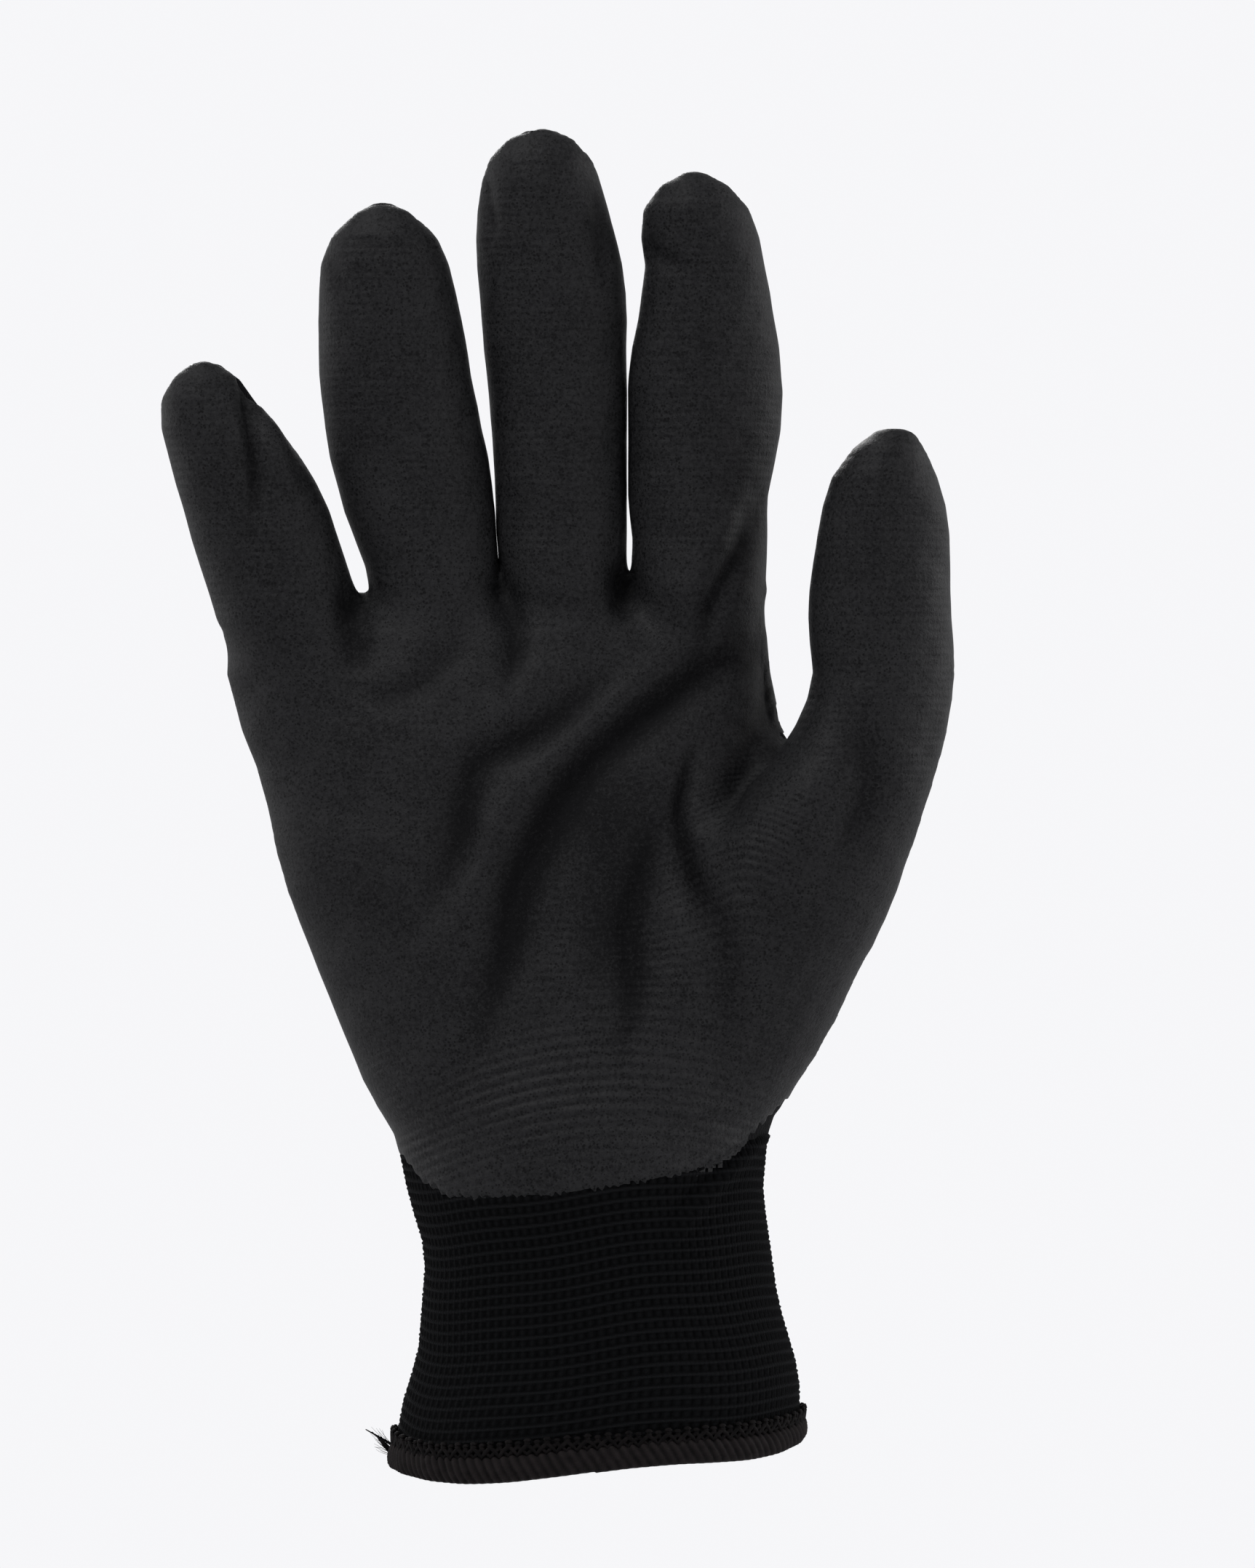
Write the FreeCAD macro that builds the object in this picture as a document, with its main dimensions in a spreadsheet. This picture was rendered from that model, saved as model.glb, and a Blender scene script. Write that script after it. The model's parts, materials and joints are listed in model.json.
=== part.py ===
"""Cut resistant work glove for a right hand, as a parametric document.

A seamless knitted liner (palm, five stalls and an elastic rib cuff) carries a foam coating on its palm side.
Every stall folds at its creases, so the liner and the coating are split there, and a short crease piece of
liner and coating together closes each fold.

Frame: the origin is the centre of the wrist opening, +Z runs to the fingertips, the palm faces -Y and the
thumb is on +X. Lengths are millimetres and angles are degrees.
"""
import FreeCAD, Part
import math
import os

doc = FreeCAD.newDocument("glove")

# ---------------------------------------------------------------- driving dimensions
sheet = doc.addObject("Spreadsheet::Sheet", "Sizes")


def size(alias, value):
    """Adds one named driving dimension to the sheet."""
    size.row += 1
    sheet.set(f"A{size.row}", alias)
    sheet.set(f"B{size.row}", str(value))
    sheet.setAlias(f"B{size.row}", alias)


size.row = 0

# layers
size("liner_wall", 1.3)
size("coating_wall", 0.8)
size("fold_clearance", 0.4)
size("back_fold", 1.6)
size("fold_axis_inset", 2.0)
size("coating_wrap", 1.0)

# hand: one row of sections from the wrist opening to the webs, each with its rise over the one below, its
# centre across the hand, its half width and its half depth
HAND_SECTIONS = ("mouth", "flare", "neck", "waist", "narrow", "heel", "mound", "thenar", "crotch", "knuckle", "web")
HAND_ROWS = {
    "mouth": (-5.0, -0.2, 38.2, 24.2),
    "flare": (13.0, 0.3, 36.8, 23.0),
    "neck": (13.0, 0.6, 33.8, 21.8),
    "waist": (18.0, -0.6, 31.7, 20.8),
    "narrow": (20.0, -3.2, 33.4, 20.2),
    "heel": (20.0, -3.5, 43.0, 19.6),
    "mound": (18.0, -2.0, 51.2, 18.8),
    "thenar": (14.0, -2.0, 57.0, 17.6),
    "crotch": (21.0, -15.6, 48.4, 16.2),
    "knuckle": (18.0, -18.2, 49.4, 13.4),
    "web": (12.0, -7.2, 36.0, 6.5),
}
lower = "0"
for name, (rise, across, half_width, half_depth) in HAND_ROWS.items():
    size(f"{name}_rise", rise)
    size(f"{name}_height", f"={lower}+{name}_rise")
    size(f"{name}_across", across)
    size(f"{name}_half_width", half_width)
    size(f"{name}_half_depth", half_depth)
    lower = f"{name}_height"

# cuff
size("mouth_tilt", 5.0)
size("cuff_top_drop", 13.0)
size("cuff_top", "=heel_height-cuff_top_drop")
size("cuff_top_tilt", 2.0)
size("elastic_count", 9)
size("elastic_pitch", 4.1)
size("elastic_first", 12.5)
size("elastic_height", 0.9)
size("elastic_wall", 0.5)
size("hem_height", 8.0)
size("hem_wall", 1.2)
size("tail_length", 7.5)
size("tail_radius", 0.7)

# dip line of the coating across the wrist
size("dip_radius", 60.0)
size("dip_drop", 7.5)
size("dip_low", "=narrow_height-dip_drop")
size("dip_across", -4.0)
size("palm_wrap", 2.0)

# stalls: where the root fold is from the middle of the web, how the stall leans, its three lengths, its half
# widths and half depths
FINGERS = ("index_finger", "middle_finger", "ring_finger", "little_finger")
FINGER_ROWS = {
    "index_finger": (26.4, 0.0, 13.0, 0.0, 4.0, 18.0, 23.0, 23.0, 11.5, 12.6, 11.4, 10.0, 9.8, 9.6, 8.6, 7.8),
    "middle_finger": (0.0, 1.0, 13.0, -3.1, 3.0, 22.0, 25.0, 25.2, 11.0, 11.8, 12.3, 10.5, 9.6, 9.6, 8.8, 8.0),
    "ring_finger": (-25.6, 0.5, 7.0, -7.0, 4.0, 19.0, 22.5, 23.6, 11.0, 12.6, 12.1, 10.0, 9.5, 9.4, 8.6, 7.8),
    "little_finger": (-51.6, -1.0, -1.5, -18.4, 5.0, 13.5, 15.5, 17.0, 11.3, 11.1, 10.0, 8.6, 9.0, 8.6, 7.8, 7.0),
}
FINGER_SIZES = (
    "root_across", "root_front", "root_rise", "splay", "lean", "base_length", "mid_length", "tip_length",
    "root_half_width", "knuckle_half_width", "joint_half_width", "tip_half_width",
    "root_half_depth", "knuckle_half_depth", "joint_half_depth", "tip_half_depth",
)
for finger, row in FINGER_ROWS.items():
    for what, value in zip(FINGER_SIZES, row):
        size(f"{finger}_{what}", value)
size("finger_curl", 5.0)
size("finger_stub", 20.0)
size("root_bend", 60.0)
size("knuckle_bend", 80.0)
size("tip_bend", 55.0)

# thumb: a mound that leaves the palm, then a stall of two lengths
size("thumb_root_across", 15.8)
size("thumb_root_front", -13.0)
size("thumb_root_rise", -1.0)
size("thumb_root_lean", 27.0)
size("thumb_turn", -12.0)
size("thumb_base_length", 31.0)
size("thumb_tip_length", 29.5)
size("thumb_straighten", 25.0)
size("thumb_lean", 5.0)
size("thumb_root_half_width", 15.4)
size("thumb_waist_half_width", 12.7)
size("thumb_joint_half_width", 12.6)
size("thumb_tip_half_width", 10.8)
size("thumb_root_half_depth", 13.2)
size("thumb_joint_half_depth", 10.8)
size("thumb_tip_half_depth", 9.0)
size("thumb_heel_across", 29.0)
size("thumb_heel_front", -3.0)
size("thumb_heel_rise", -9.0)
size("thumb_heel_lean", 24.0)
size("thumb_heel_half_width", 12.0)
size("thumb_heel_half_depth", 9.0)
size("thumb_mound_across", 39.0)
size("thumb_mound_front", -9.0)
size("thumb_mound_lean", 30.0)
size("thumb_mound_half_width", 17.0)
size("thumb_mound_half_depth", 14.2)
size("thumb_bend", 35.0)
size("thumb_tip_bend", 60.0)
doc.recompute()


def read(alias):
    """The number that a cell of the sheet holds."""
    return float(sheet.get(alias))


def cell(alias):
    """A cell as it is written in an expression."""
    return f"Sizes.{alias}"


# ---------------------------------------------------------------- building helpers
def bind(thing, **expressions):
    """Ties properties of an object to expressions; underscores in a key stand for dots."""
    for key, expression in expressions.items():
        thing.setExpression(key.replace("__", "."), expression)
    return thing


def placed(parent, x="0", y="0", z="0", roll="0", pitch="0", yaw="0"):
    """The expression of a placement, given relative to another object's or to the document's."""
    own = (
        f"placement(vector(({x})*1mm;({y})*1mm;({z})*1mm);"
        f"rotation(({yaw})*1deg;({pitch})*1deg;({roll})*1deg))"
    )
    return f"{parent}.Placement*{own}" if parent else own


def section(name, half_width, half_depth, where):
    """An ellipse across the hand or a stall."""
    ellipse = doc.addObject("Part::Ellipse", name)
    bind(ellipse, MajorRadius=f"({half_width})*1mm", MinorRadius=f"({half_depth})*1mm", Placement=where)
    return ellipse


def loft(name, sections, straight=True):
    """A closed solid through ellipses, straight from one to the next or smooth along its whole length."""
    made = doc.addObject("Part::Loft", name)
    made.Sections = sections
    made.Solid = True
    made.Ruled = straight
    return made


def block(name, x0, x1, y0, y1, z0, z1, where):
    """A box between two corners, given as expressions in the frame that where states."""
    box = doc.addObject("Part::Wedge", name)
    bind(
        box,
        Xmin=f"({x0})*1mm", Xmax=f"({x1})*1mm", X2min=f"({x0})*1mm", X2max=f"({x1})*1mm",
        Ymin=f"({y0})*1mm", Ymax=f"({y1})*1mm",
        Zmin=f"({z0})*1mm", Zmax=f"({z1})*1mm", Z2min=f"({z0})*1mm", Z2max=f"({z1})*1mm",
        Placement=where,
    )
    return box


def fuse(name, *things):
    """The union of several objects."""
    if len(things) == 1:
        return things[0]
    made = doc.addObject("Part::MultiFuse", name)
    made.Shapes = list(things)
    return made


def cut(name, base, tool):
    """Base without tool."""
    made = doc.addObject("Part::Cut", name)
    made.Base, made.Tool = base, tool
    return made


def common(name, base, tool):
    """What base and tool share."""
    made = doc.addObject("Part::Common", name)
    made.Base, made.Tool = base, tool
    return made


NODES = []


def node(thing, label):
    """Marks an object as a sub-part of the glove under the name that a person would use."""
    thing.Label = label
    NODES.append(thing)
    return thing


LAYERS = {"inner": "-Sizes.liner_wall", "outer": "0", "coated": "Sizes.coating_wall"}
REACH = 30.0  # half size of the blocks that stand for one side of a plane, in millimetres
DOME_ANGLES = (0.0, 32.0, 56.0, 76.0)  # where the rounded fingertip has its sections


class Fold:
    """One fold of a stall: its frame, and the two slanted planes that bound its crease.

    The palm side of the crease is long enough for the fold to close, and the back is a narrow strip.
    """

    def __init__(self, name, bend, half_width, half_depth, where):
        self.name, self.half_width, self.half_depth = name, half_width, half_depth
        front = f"(({half_depth}-Sizes.fold_axis_inset)*tan(({bend})*0.5deg)+Sizes.fold_clearance)"
        self.middle = f"(({front}+Sizes.back_fold/2)/2)"
        self.slant = f"(atan(({front}-Sizes.back_fold/2)/(2*{half_depth}))/1deg)"
        self.frame = doc.addObject("Part::Vertex", name)
        bind(self.frame, Placement=where)

    def edge(self, name, offset, side, half_width=None, half_depth=None, shift="0"):
        """The tube's ellipse in one slanted plane of the crease; side is +1 past the fold and -1 before it."""
        sign = "" if side > 0 else "-"
        other = "-" if side > 0 else ""
        where = placed(self.name, z=f"{sign}{self.middle}", roll=f"{other}{self.slant}", y=shift)
        deep = f"({half_depth or self.half_depth}+({offset}))/cos({self.slant}*1deg)"
        return section(name, f"{half_width or self.half_width}+({offset})", deep, where)


def dome(name, joint, length, half_width, half_depth, offset):
    """Sections of a rounded fingertip, from where it starts to turn in up to its end."""
    made = []
    depth = f"({half_depth})"
    for degrees in DOME_ANGLES:
        shrink, rise = math.cos(math.radians(degrees)), math.sin(math.radians(degrees))
        where = placed(joint, z=f"({length})-{depth}+({depth}+({offset}))*{rise:.4f}")
        width = f"(({half_width})+({offset}))*{shrink:.4f}"
        deep = f"({depth}+({offset}))*{shrink:.4f}"
        made.append(section(f"{name}_dome_{degrees:.0f}", width, deep, where))
    return made


def palm_half(name, frame, wrap):
    """The palm side of a stall with the wrap round its edge."""
    return block(name, -REACH, REACH, -REACH, wrap, -2 * REACH, 3 * REACH, placed(frame))


def segment(label, frame, runs, wrap):
    """A stall's length between two folds: the knitted tube, and the coating laid on its palm side."""
    lofts = {layer: loft(f"{label}_{layer}", runs(f"{label}_{layer}", offset)) for layer, offset in LAYERS.items()}
    node(cut(f"{label}_tube", lofts["outer"], lofts["inner"]), f"{label}_liner")
    faced = common(f"{label}_face", lofts["coated"], palm_half(f"{label}_half", frame, wrap))
    node(cut(f"{label}_skin", faced, lofts["outer"]), f"{label}_coating")


def crease(label, joint):
    """Liner and coating together across a fold; the coating's wall is added on the palm side only."""
    half = "Sizes.coating_wall/2"
    outside = loft(
        f"{label}_over",
        [
            joint.edge(f"{label}_over_before", "0", -1, half_depth=f"({joint.half_depth}+{half})", shift=f"-{half}"),
            joint.edge(f"{label}_over_past", "0", 1, half_depth=f"({joint.half_depth}+{half})", shift=f"-{half}"),
        ],
    )
    inside = loft(
        f"{label}_under",
        [
            joint.edge(f"{label}_under_before", "-Sizes.liner_wall", -1),
            joint.edge(f"{label}_under_past", "-Sizes.liner_wall", 1),
        ],
    )
    node(cut(f"{label}_band", outside, inside), f"{label}_crease")


# ---------------------------------------------------------------- fingers
def finger_stall(finger):
    """A finger's nodes between root, knuckle and tip folds; returns its stubs, which belong to the palm."""

    def own(what):
        return cell(f"{finger}_{what}")

    root = Fold(
        f"{finger}_root", cell("root_bend"), own("root_half_width"), own("root_half_depth"),
        placed(
            "", f"{cell('web_across')}+{own('root_across')}", own("root_front"),
            f"{cell('web_height')}+{own('root_rise')}", own("lean"), own("splay"),
        ),
    )
    knuckle = Fold(
        f"{finger}_knuckle", cell("knuckle_bend"), own("knuckle_half_width"), own("knuckle_half_depth"),
        placed(root.name, z=own("base_length"), roll=cell("finger_curl")),
    )
    joint = Fold(
        f"{finger}_joint", cell("tip_bend"), own("joint_half_width"), own("joint_half_depth"),
        placed(knuckle.name, z=own("mid_length"), roll=cell("finger_curl")),
    )

    def base(name, offset):
        return [root.edge(f"{name}_a", offset, 1), knuckle.edge(f"{name}_b", offset, -1)]

    def mid(name, offset):
        return [knuckle.edge(f"{name}_a", offset, 1), joint.edge(f"{name}_b", offset, -1)]

    def tip(name, offset):
        round_end = dome(
            name, joint.name, own("tip_length"), own("tip_half_width"), own("tip_half_depth"), offset
        )
        return [joint.edge(f"{name}_a", offset, 1)] + round_end

    def stub(name, offset):
        low = placed(root.name, z=f"-{cell('finger_stub')}")
        wide, deep = f"{own('root_half_width')}+({offset})", f"{own('root_half_depth')}+({offset})"
        return [section(f"{name}_a", wide, deep, low), root.edge(f"{name}_b", offset, -1)]

    wrap = cell("coating_wrap")
    for part, fold, runs in (("base", root, base), ("mid", knuckle, mid), ("tip", joint, tip)):
        segment(f"{finger}_{part}", fold.name, runs, wrap)
        crease(f"{finger}_{part}", fold)
    return {
        layer: [loft(f"{finger}_stub_{layer}", stub(f"{finger}_stub_{layer}", offset))]
        for layer, offset in LAYERS.items()
    }


# ---------------------------------------------------------------- thumb
def thumb_stall():
    """The thumb's mound and stall: its root fold is slanted along the web, and its tip joint stands upright."""
    root = Fold(
        "thumb_root", cell("thumb_bend"), cell("thumb_root_half_width"), cell("thumb_root_half_depth"),
        placed(
            "", f"{cell('crotch_across')}+{cell('crotch_half_width')}+{cell('thumb_root_across')}",
            cell("thumb_root_front"), f"{cell('crotch_height')}+{cell('thumb_root_rise')}",
            pitch=cell("thumb_root_lean"), yaw=cell("thumb_turn"), roll=cell("thumb_lean"),
        ),
    )
    stand = doc.addObject("Part::Vertex", "thumb_upright")
    bind(stand, Placement=placed(root.name, pitch=f"-{cell('thumb_straighten')}"))
    joint = Fold(
        "thumb_joint", cell("thumb_tip_bend"), cell("thumb_joint_half_width"), cell("thumb_joint_half_depth"),
        placed(stand.Name, z=cell("thumb_base_length"), roll=cell("thumb_lean")),
    )

    def base(name, offset):
        waist = section(
            f"{name}_waist", f"{cell('thumb_waist_half_width')}+({offset})",
            f"{cell('thumb_joint_half_depth')}+0.6+({offset})",
            placed(stand.Name, z=f"{cell('thumb_base_length')}*0.5"),
        )
        return [root.edge(f"{name}_a", offset, 1), waist, joint.edge(f"{name}_b", offset, -1)]

    def tip(name, offset):
        round_end = dome(
            name, joint.name, cell("thumb_tip_length"), cell("thumb_tip_half_width"),
            cell("thumb_tip_half_depth"), offset,
        )
        return [joint.edge(f"{name}_a", offset, 1)] + round_end

    def mound(name, what, height, offset):
        return section(
            name, f"{cell(f'thumb_{what}_half_width')}+({offset})", f"{cell(f'thumb_{what}_half_depth')}+({offset})",
            placed(
                "", f"{cell('mound_across')}+{cell(f'thumb_{what}_across')}", cell(f"thumb_{what}_front"), height,
                pitch=cell(f"thumb_{what}_lean"),
            ),
        )

    def stub(name, offset):
        heel = mound(f"{name}_heel", "heel", f"{cell('mound_height')}+{cell('thumb_heel_rise')}", offset)
        middle = mound(f"{name}_middle", "mound", cell("thenar_height"), offset)
        return [heel, middle, root.edge(f"{name}_top", offset, -1)]

    wrap = cell("coating_wrap")
    for part, fold, runs in (("base", root, base), ("tip", joint, tip)):
        segment(f"thumb_{part}", fold.name, runs, wrap)
        crease(f"thumb_{part}", fold)
    return {
        layer: [loft(f"thumb_stub_{layer}", stub(f"thumb_stub_{layer}", offset))]
        for layer, offset in LAYERS.items()
    }


STUBS = [finger_stall(finger) for finger in FINGERS] + [thumb_stall()]


# ---------------------------------------------------------------- hand: palm and cuff in one run
def hand_loft(layer, offset):
    """The palm and cuff as one loft; it starts below the opening, the lower the further in the layer is."""
    sections = []
    for name in HAND_SECTIONS:
        drop = f"(1-({offset}))" if name == "mouth" else "0"
        rise = f"({offset})" if name == "web" else "0"
        sections.append(
            section(
                f"hand_{layer}_{name}",
                f"{cell(name + '_half_width')}+({offset})",
                f"{cell(name + '_half_depth')}+({offset})",
                placed("", cell(f"{name}_across"), "0", f"{cell(name + '_height')}-{drop}+{rise}"),
            )
        )
    return loft(f"hand_{layer}_loft", sections)


hand = {layer: hand_loft(layer, offset) for layer, offset in LAYERS.items()}
outer_hand = fuse("hand_outside", hand["outer"], *[part for stub in STUBS for part in stub["outer"]])
inner_hand = fuse("hand_inside", hand["inner"], *[part for stub in STUBS for part in stub["inner"]])
coated_hand = fuse("hand_coated", hand["coated"], *[part for stub in STUBS for part in stub["coated"]])

cuff_line = placed("", z=cell("cuff_top"), pitch=f"-{cell('cuff_top_tilt')}")
above_cuff = block("above_cuff", -4 * REACH, 4 * REACH, -2 * REACH, 2 * REACH, 0, 6 * REACH, cuff_line)
palm_shell = cut("hand_shell", common("hand_above_cuff", outer_hand, above_cuff), inner_hand)
node(palm_shell, "palm_liner")

dip_bowl = doc.addObject("Part::Cylinder", "dip_bowl")
bind(
    dip_bowl, Radius=f"{cell('dip_radius')}*1mm", Height=f"{4 * REACH}mm",
    Placement=placed(
        "", cell("dip_across"), f"{cell('palm_wrap')}", f"{cell('dip_low')}+{cell('dip_radius')}", roll="90"
    ),
)
dip_top = block(
    "dip_top", -4 * REACH, 4 * REACH, -4 * REACH, cell("palm_wrap"), 0, 6 * REACH,
    placed("", z=f"{cell('dip_low')}+{cell('dip_radius')}"),
)
dipped = fuse("dipped_side", dip_bowl, dip_top)
palm_skin = common("palm_skin", cut("hand_skin", coated_hand, outer_hand), dipped)
node(palm_skin, "palm_coating")

# ---------------------------------------------------------------- cuff, elastic, hem and thread tail
mouth_line = placed("", pitch=f"-{cell('mouth_tilt')}")
hem_line = placed("", pitch=f"-{cell('mouth_tilt')}")


def cuff_layer(name, offset, raised="0"):
    """The lower run of the hand at an offset from its outer surface, for what lies in or round the cuff."""
    sections = []
    for place in HAND_SECTIONS[:6]:
        drop = f"(1-({offset}))" if place == "mouth" else "0"
        sections.append(
            section(
                f"{name}_{place}", f"{cell(place + '_half_width')}+({offset})",
                f"{cell(place + '_half_depth')}+({offset})",
                placed("", cell(f"{place}_across"), "0", f"{cell(place + '_height')}-{drop}"),
            )
        )
    return loft(f"{name}_loft", sections)


cuff_outside = cuff_layer("cuff_outside", "0")
cuff_inside = cuff_layer("cuff_inside", "-Sizes.liner_wall")
below_cuff_top = block("below_cuff_top", -3 * REACH, 3 * REACH, -2 * REACH, 2 * REACH, -5 * REACH, 0, cuff_line)
above_edge = block(
    "above_raw_edge", -3 * REACH, 3 * REACH, -2 * REACH, 2 * REACH, cell("hem_wall"), 6 * REACH, mouth_line
)
cuff_run = common("cuff_run", common("cuff_trimmed", cuff_outside, below_cuff_top), above_edge)
cuff_tube = cut("cuff_tube", cuff_run, cuff_inside)

elastic_wall = cut("elastic_wall_tube", cuff_layer("elastic_outside", "Sizes.elastic_wall"), cuff_outside)
courses = []
for i in range(int(read("elastic_count"))):
    turn = f"-({cell('mouth_tilt')}-({cell('mouth_tilt')}-{cell('cuff_top_tilt')})*{i}/{cell('elastic_count')})"
    level = placed("", z=f"{cell('elastic_first')}+{cell('elastic_pitch')}*{i}", pitch=turn)
    courses.append(
        block(f"elastic_course_{i + 1}", -2 * REACH, 2 * REACH, -REACH, REACH, 0, cell("elastic_height"), level)
    )
elastic_levels = doc.addObject("Part::Compound", "elastic_levels")
elastic_levels.Links = courses
elastic = common("elastic_rings", elastic_wall, elastic_levels)
node(elastic, "cuff_elastic")
node(cuff_tube, "cuff")

hem_outside = cuff_layer("hem_outside", "Sizes.hem_wall")
hem_inside = cuff_layer("hem_inside", "-Sizes.liner_wall-Sizes.hem_wall*0.75")
hem_slab = block("hem_slab", -3 * REACH, 3 * REACH, -2 * REACH, 2 * REACH, 0, cell("hem_height"), hem_line)
hem_ring = cut("hem_ring", common("hem_disc", hem_outside, hem_slab), hem_inside)
hem_channel = cut("hem_channel", hem_ring, cuff_tube)
node(hem_channel, "cuff_hem")

strands = []
TAIL_SPREAD = ((-48.0, 0.0), (-30.0, 12.0), (-62.0, -14.0))  # how each yarn end points: pitch and turn
for i, (pitch, turn) in enumerate(TAIL_SPREAD):
    strand = doc.addObject("Part::Cone", f"tail_strand_{i + 1}")
    bind(
        strand, Radius1=f"{cell('tail_radius')}*1mm", Radius2=f"{cell('tail_radius')}*0.35mm",
        Height=f"{cell('tail_length')}*1mm",
        Placement=placed(
            "", f"{cell('mouth_across')}-{cell('mouth_half_width')}-{cell('hem_wall')}+0.4",
            f"({i}-1)*{cell('tail_radius')}*2.2", f"{cell('hem_height')}*0.35-3.3", pitch=f"{pitch}", yaw=f"{turn}",
        ),
    )
    strands.append(strand)
tail = doc.addObject("Part::Compound", "tail_strands")
tail.Links = strands
node(tail, "thread_tail")

# ---------------------------------------------------------------- checks and export
doc.recompute()


def faults():
    """Everything that didn't build: objects that failed, and sub-parts that are empty or not valid."""
    found = [f"{o.Name} {o.State}" for o in doc.Objects if {"Invalid", "Error"} & set(o.State)]
    for part in NODES:
        shape = part.Shape
        if shape.isNull() or not shape.Solids or not shape.isValid():
            found.append(f"{part.Label} has no valid solid")
    return found


if faults():
    raise RuntimeError("; ".join(faults()))
os.makedirs("parts", exist_ok=True)
for part in NODES:
    part.Shape.exportStep(os.path.join("parts", f"{part.Label}.step"))
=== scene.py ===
"""Cut resistant knitted glove with a coated palm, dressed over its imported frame.

Sizes in the sections are millimetres and become metres where a mesh is made.
"""

import json
import math

import bpy
import numpy as np
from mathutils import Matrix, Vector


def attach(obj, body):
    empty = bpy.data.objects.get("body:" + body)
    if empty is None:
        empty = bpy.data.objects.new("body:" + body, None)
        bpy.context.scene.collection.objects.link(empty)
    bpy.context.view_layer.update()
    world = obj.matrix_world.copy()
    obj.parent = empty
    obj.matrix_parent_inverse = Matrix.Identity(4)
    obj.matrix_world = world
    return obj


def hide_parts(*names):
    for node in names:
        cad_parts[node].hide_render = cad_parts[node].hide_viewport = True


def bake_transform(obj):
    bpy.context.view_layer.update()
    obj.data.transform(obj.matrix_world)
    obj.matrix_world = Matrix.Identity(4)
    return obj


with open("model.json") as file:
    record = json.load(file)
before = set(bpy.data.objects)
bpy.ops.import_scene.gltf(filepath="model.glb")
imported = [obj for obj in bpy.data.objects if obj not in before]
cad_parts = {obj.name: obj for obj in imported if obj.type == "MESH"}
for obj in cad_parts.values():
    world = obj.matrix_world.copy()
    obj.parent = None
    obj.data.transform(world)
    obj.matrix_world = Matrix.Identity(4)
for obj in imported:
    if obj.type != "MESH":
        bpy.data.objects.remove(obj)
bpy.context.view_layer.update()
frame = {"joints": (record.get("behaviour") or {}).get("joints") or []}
MM = 0.001

# ---------------------------------------------------------------- studio
# A long lens looks level at the palm. A soft lamp from the upper left models the creases, and weaker ones light
# the thumb side, both edges and the back. Pale paper shows behind; near the glove it keeps the shadow.
VIEW_CENTRE = (5.0, 126.6)
VIEW_HEIGHT = 290.4
LENS = 135.0
SENSOR = 36.0
camera = bpy.data.objects.new("camera", bpy.data.cameras.new("camera"))
camera.data.lens, camera.data.sensor_width = LENS, SENSOR
camera.location = (VIEW_CENTRE[0] * MM, -VIEW_HEIGHT * MM * LENS / SENSOR, VIEW_CENTRE[1] * MM)
camera.rotation_euler = (math.pi / 2, 0, 0)
camera.data.clip_start, camera.data.clip_end = 0.05, 20
bpy.context.collection.objects.link(camera)
bpy.context.scene.camera = camera


def soft_lamp(name, place, aim, width, power):
    """A square area lamp at a place, turned to a point it aims at."""
    lamp = bpy.data.objects.new(name, bpy.data.lights.new(name, "AREA"))
    lamp.data.energy, lamp.data.size = power, width
    lamp.location = place
    back = Vector(place) - Vector(aim)
    lamp.rotation_euler = back.to_track_quat("Z", "Y").to_euler()
    bpy.context.collection.objects.link(lamp)


GLOVE_MIDDLE = (0, 0, 0.13)
soft_lamp("key", (-0.55, -0.62, 1.15), GLOVE_MIDDLE, 0.4, 20.0)
soft_lamp("fill", (1.0, -0.8, 0.3), GLOVE_MIDDLE, 0.7, 8.2)
soft_lamp("left_edge", (-1.1, 0.35, 0.25), GLOVE_MIDDLE, 0.7, 7.0)
soft_lamp("behind", (-0.3, 1.1, 0.9), GLOVE_MIDDLE, 0.5, 16.0)
soft_lamp("right_edge", (1.1, 0.20, 0.35), GLOVE_MIDDLE, 0.7, 11.0)


def shader(material, kind, **inputs):
    """Adds a shader or texture node and sets the inputs that are plain values."""
    made = material.node_tree.nodes.new(kind)
    for key, value in inputs.items():
        made.inputs[key.replace("_", " ")].default_value = value
    return made


def wire(material, source, target):
    """Joins an output socket to an input socket."""
    material.node_tree.links.new(source, target)


def blank(name):
    """A material with an output node and nothing else."""
    material = bpy.data.materials.new(name)
    material.use_nodes = True
    material.node_tree.nodes.clear()
    return material, material.node_tree.nodes.new("ShaderNodeOutputMaterial")


def seen(tree):
    """1 for rays that look at a surface, straight or in a reflection, and 0 for those that light others."""
    path = tree.node_tree.nodes.new("ShaderNodeLightPath")
    share = path.outputs["Is Camera Ray"]
    for kind in ("Is Glossy Ray", "Is Transmission Ray"):
        most = tree.node_tree.nodes.new("ShaderNodeMath")
        most.operation = "MAXIMUM"
        wire(tree, share, most.inputs[0])
        wire(tree, path.outputs[kind], most.inputs[1])
        share = most.outputs[0]
    return share


PAPER = (0.925, 0.925, 0.944, 1)
world = bpy.data.worlds.new("surround")
world.use_nodes = True
world.node_tree.nodes.clear()
sky_out = world.node_tree.nodes.new("ShaderNodeOutputWorld")
sky_light = shader(world, "ShaderNodeBackground", Color=(0.9, 0.95, 1.0, 1), Strength=0.13)
sky_paper = shader(world, "ShaderNodeBackground", Color=PAPER, Strength=1.0)
sky_mix = world.node_tree.nodes.new("ShaderNodeMixShader")
wire(world, seen(world), sky_mix.inputs[0])
wire(world, sky_light.outputs[0], sky_mix.inputs[1])
wire(world, sky_paper.outputs[0], sky_mix.inputs[2])
wire(world, sky_mix.outputs[0], sky_out.inputs[0])
bpy.context.scene.world = world
bpy.context.scene.view_settings.view_transform = "Standard"

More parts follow.
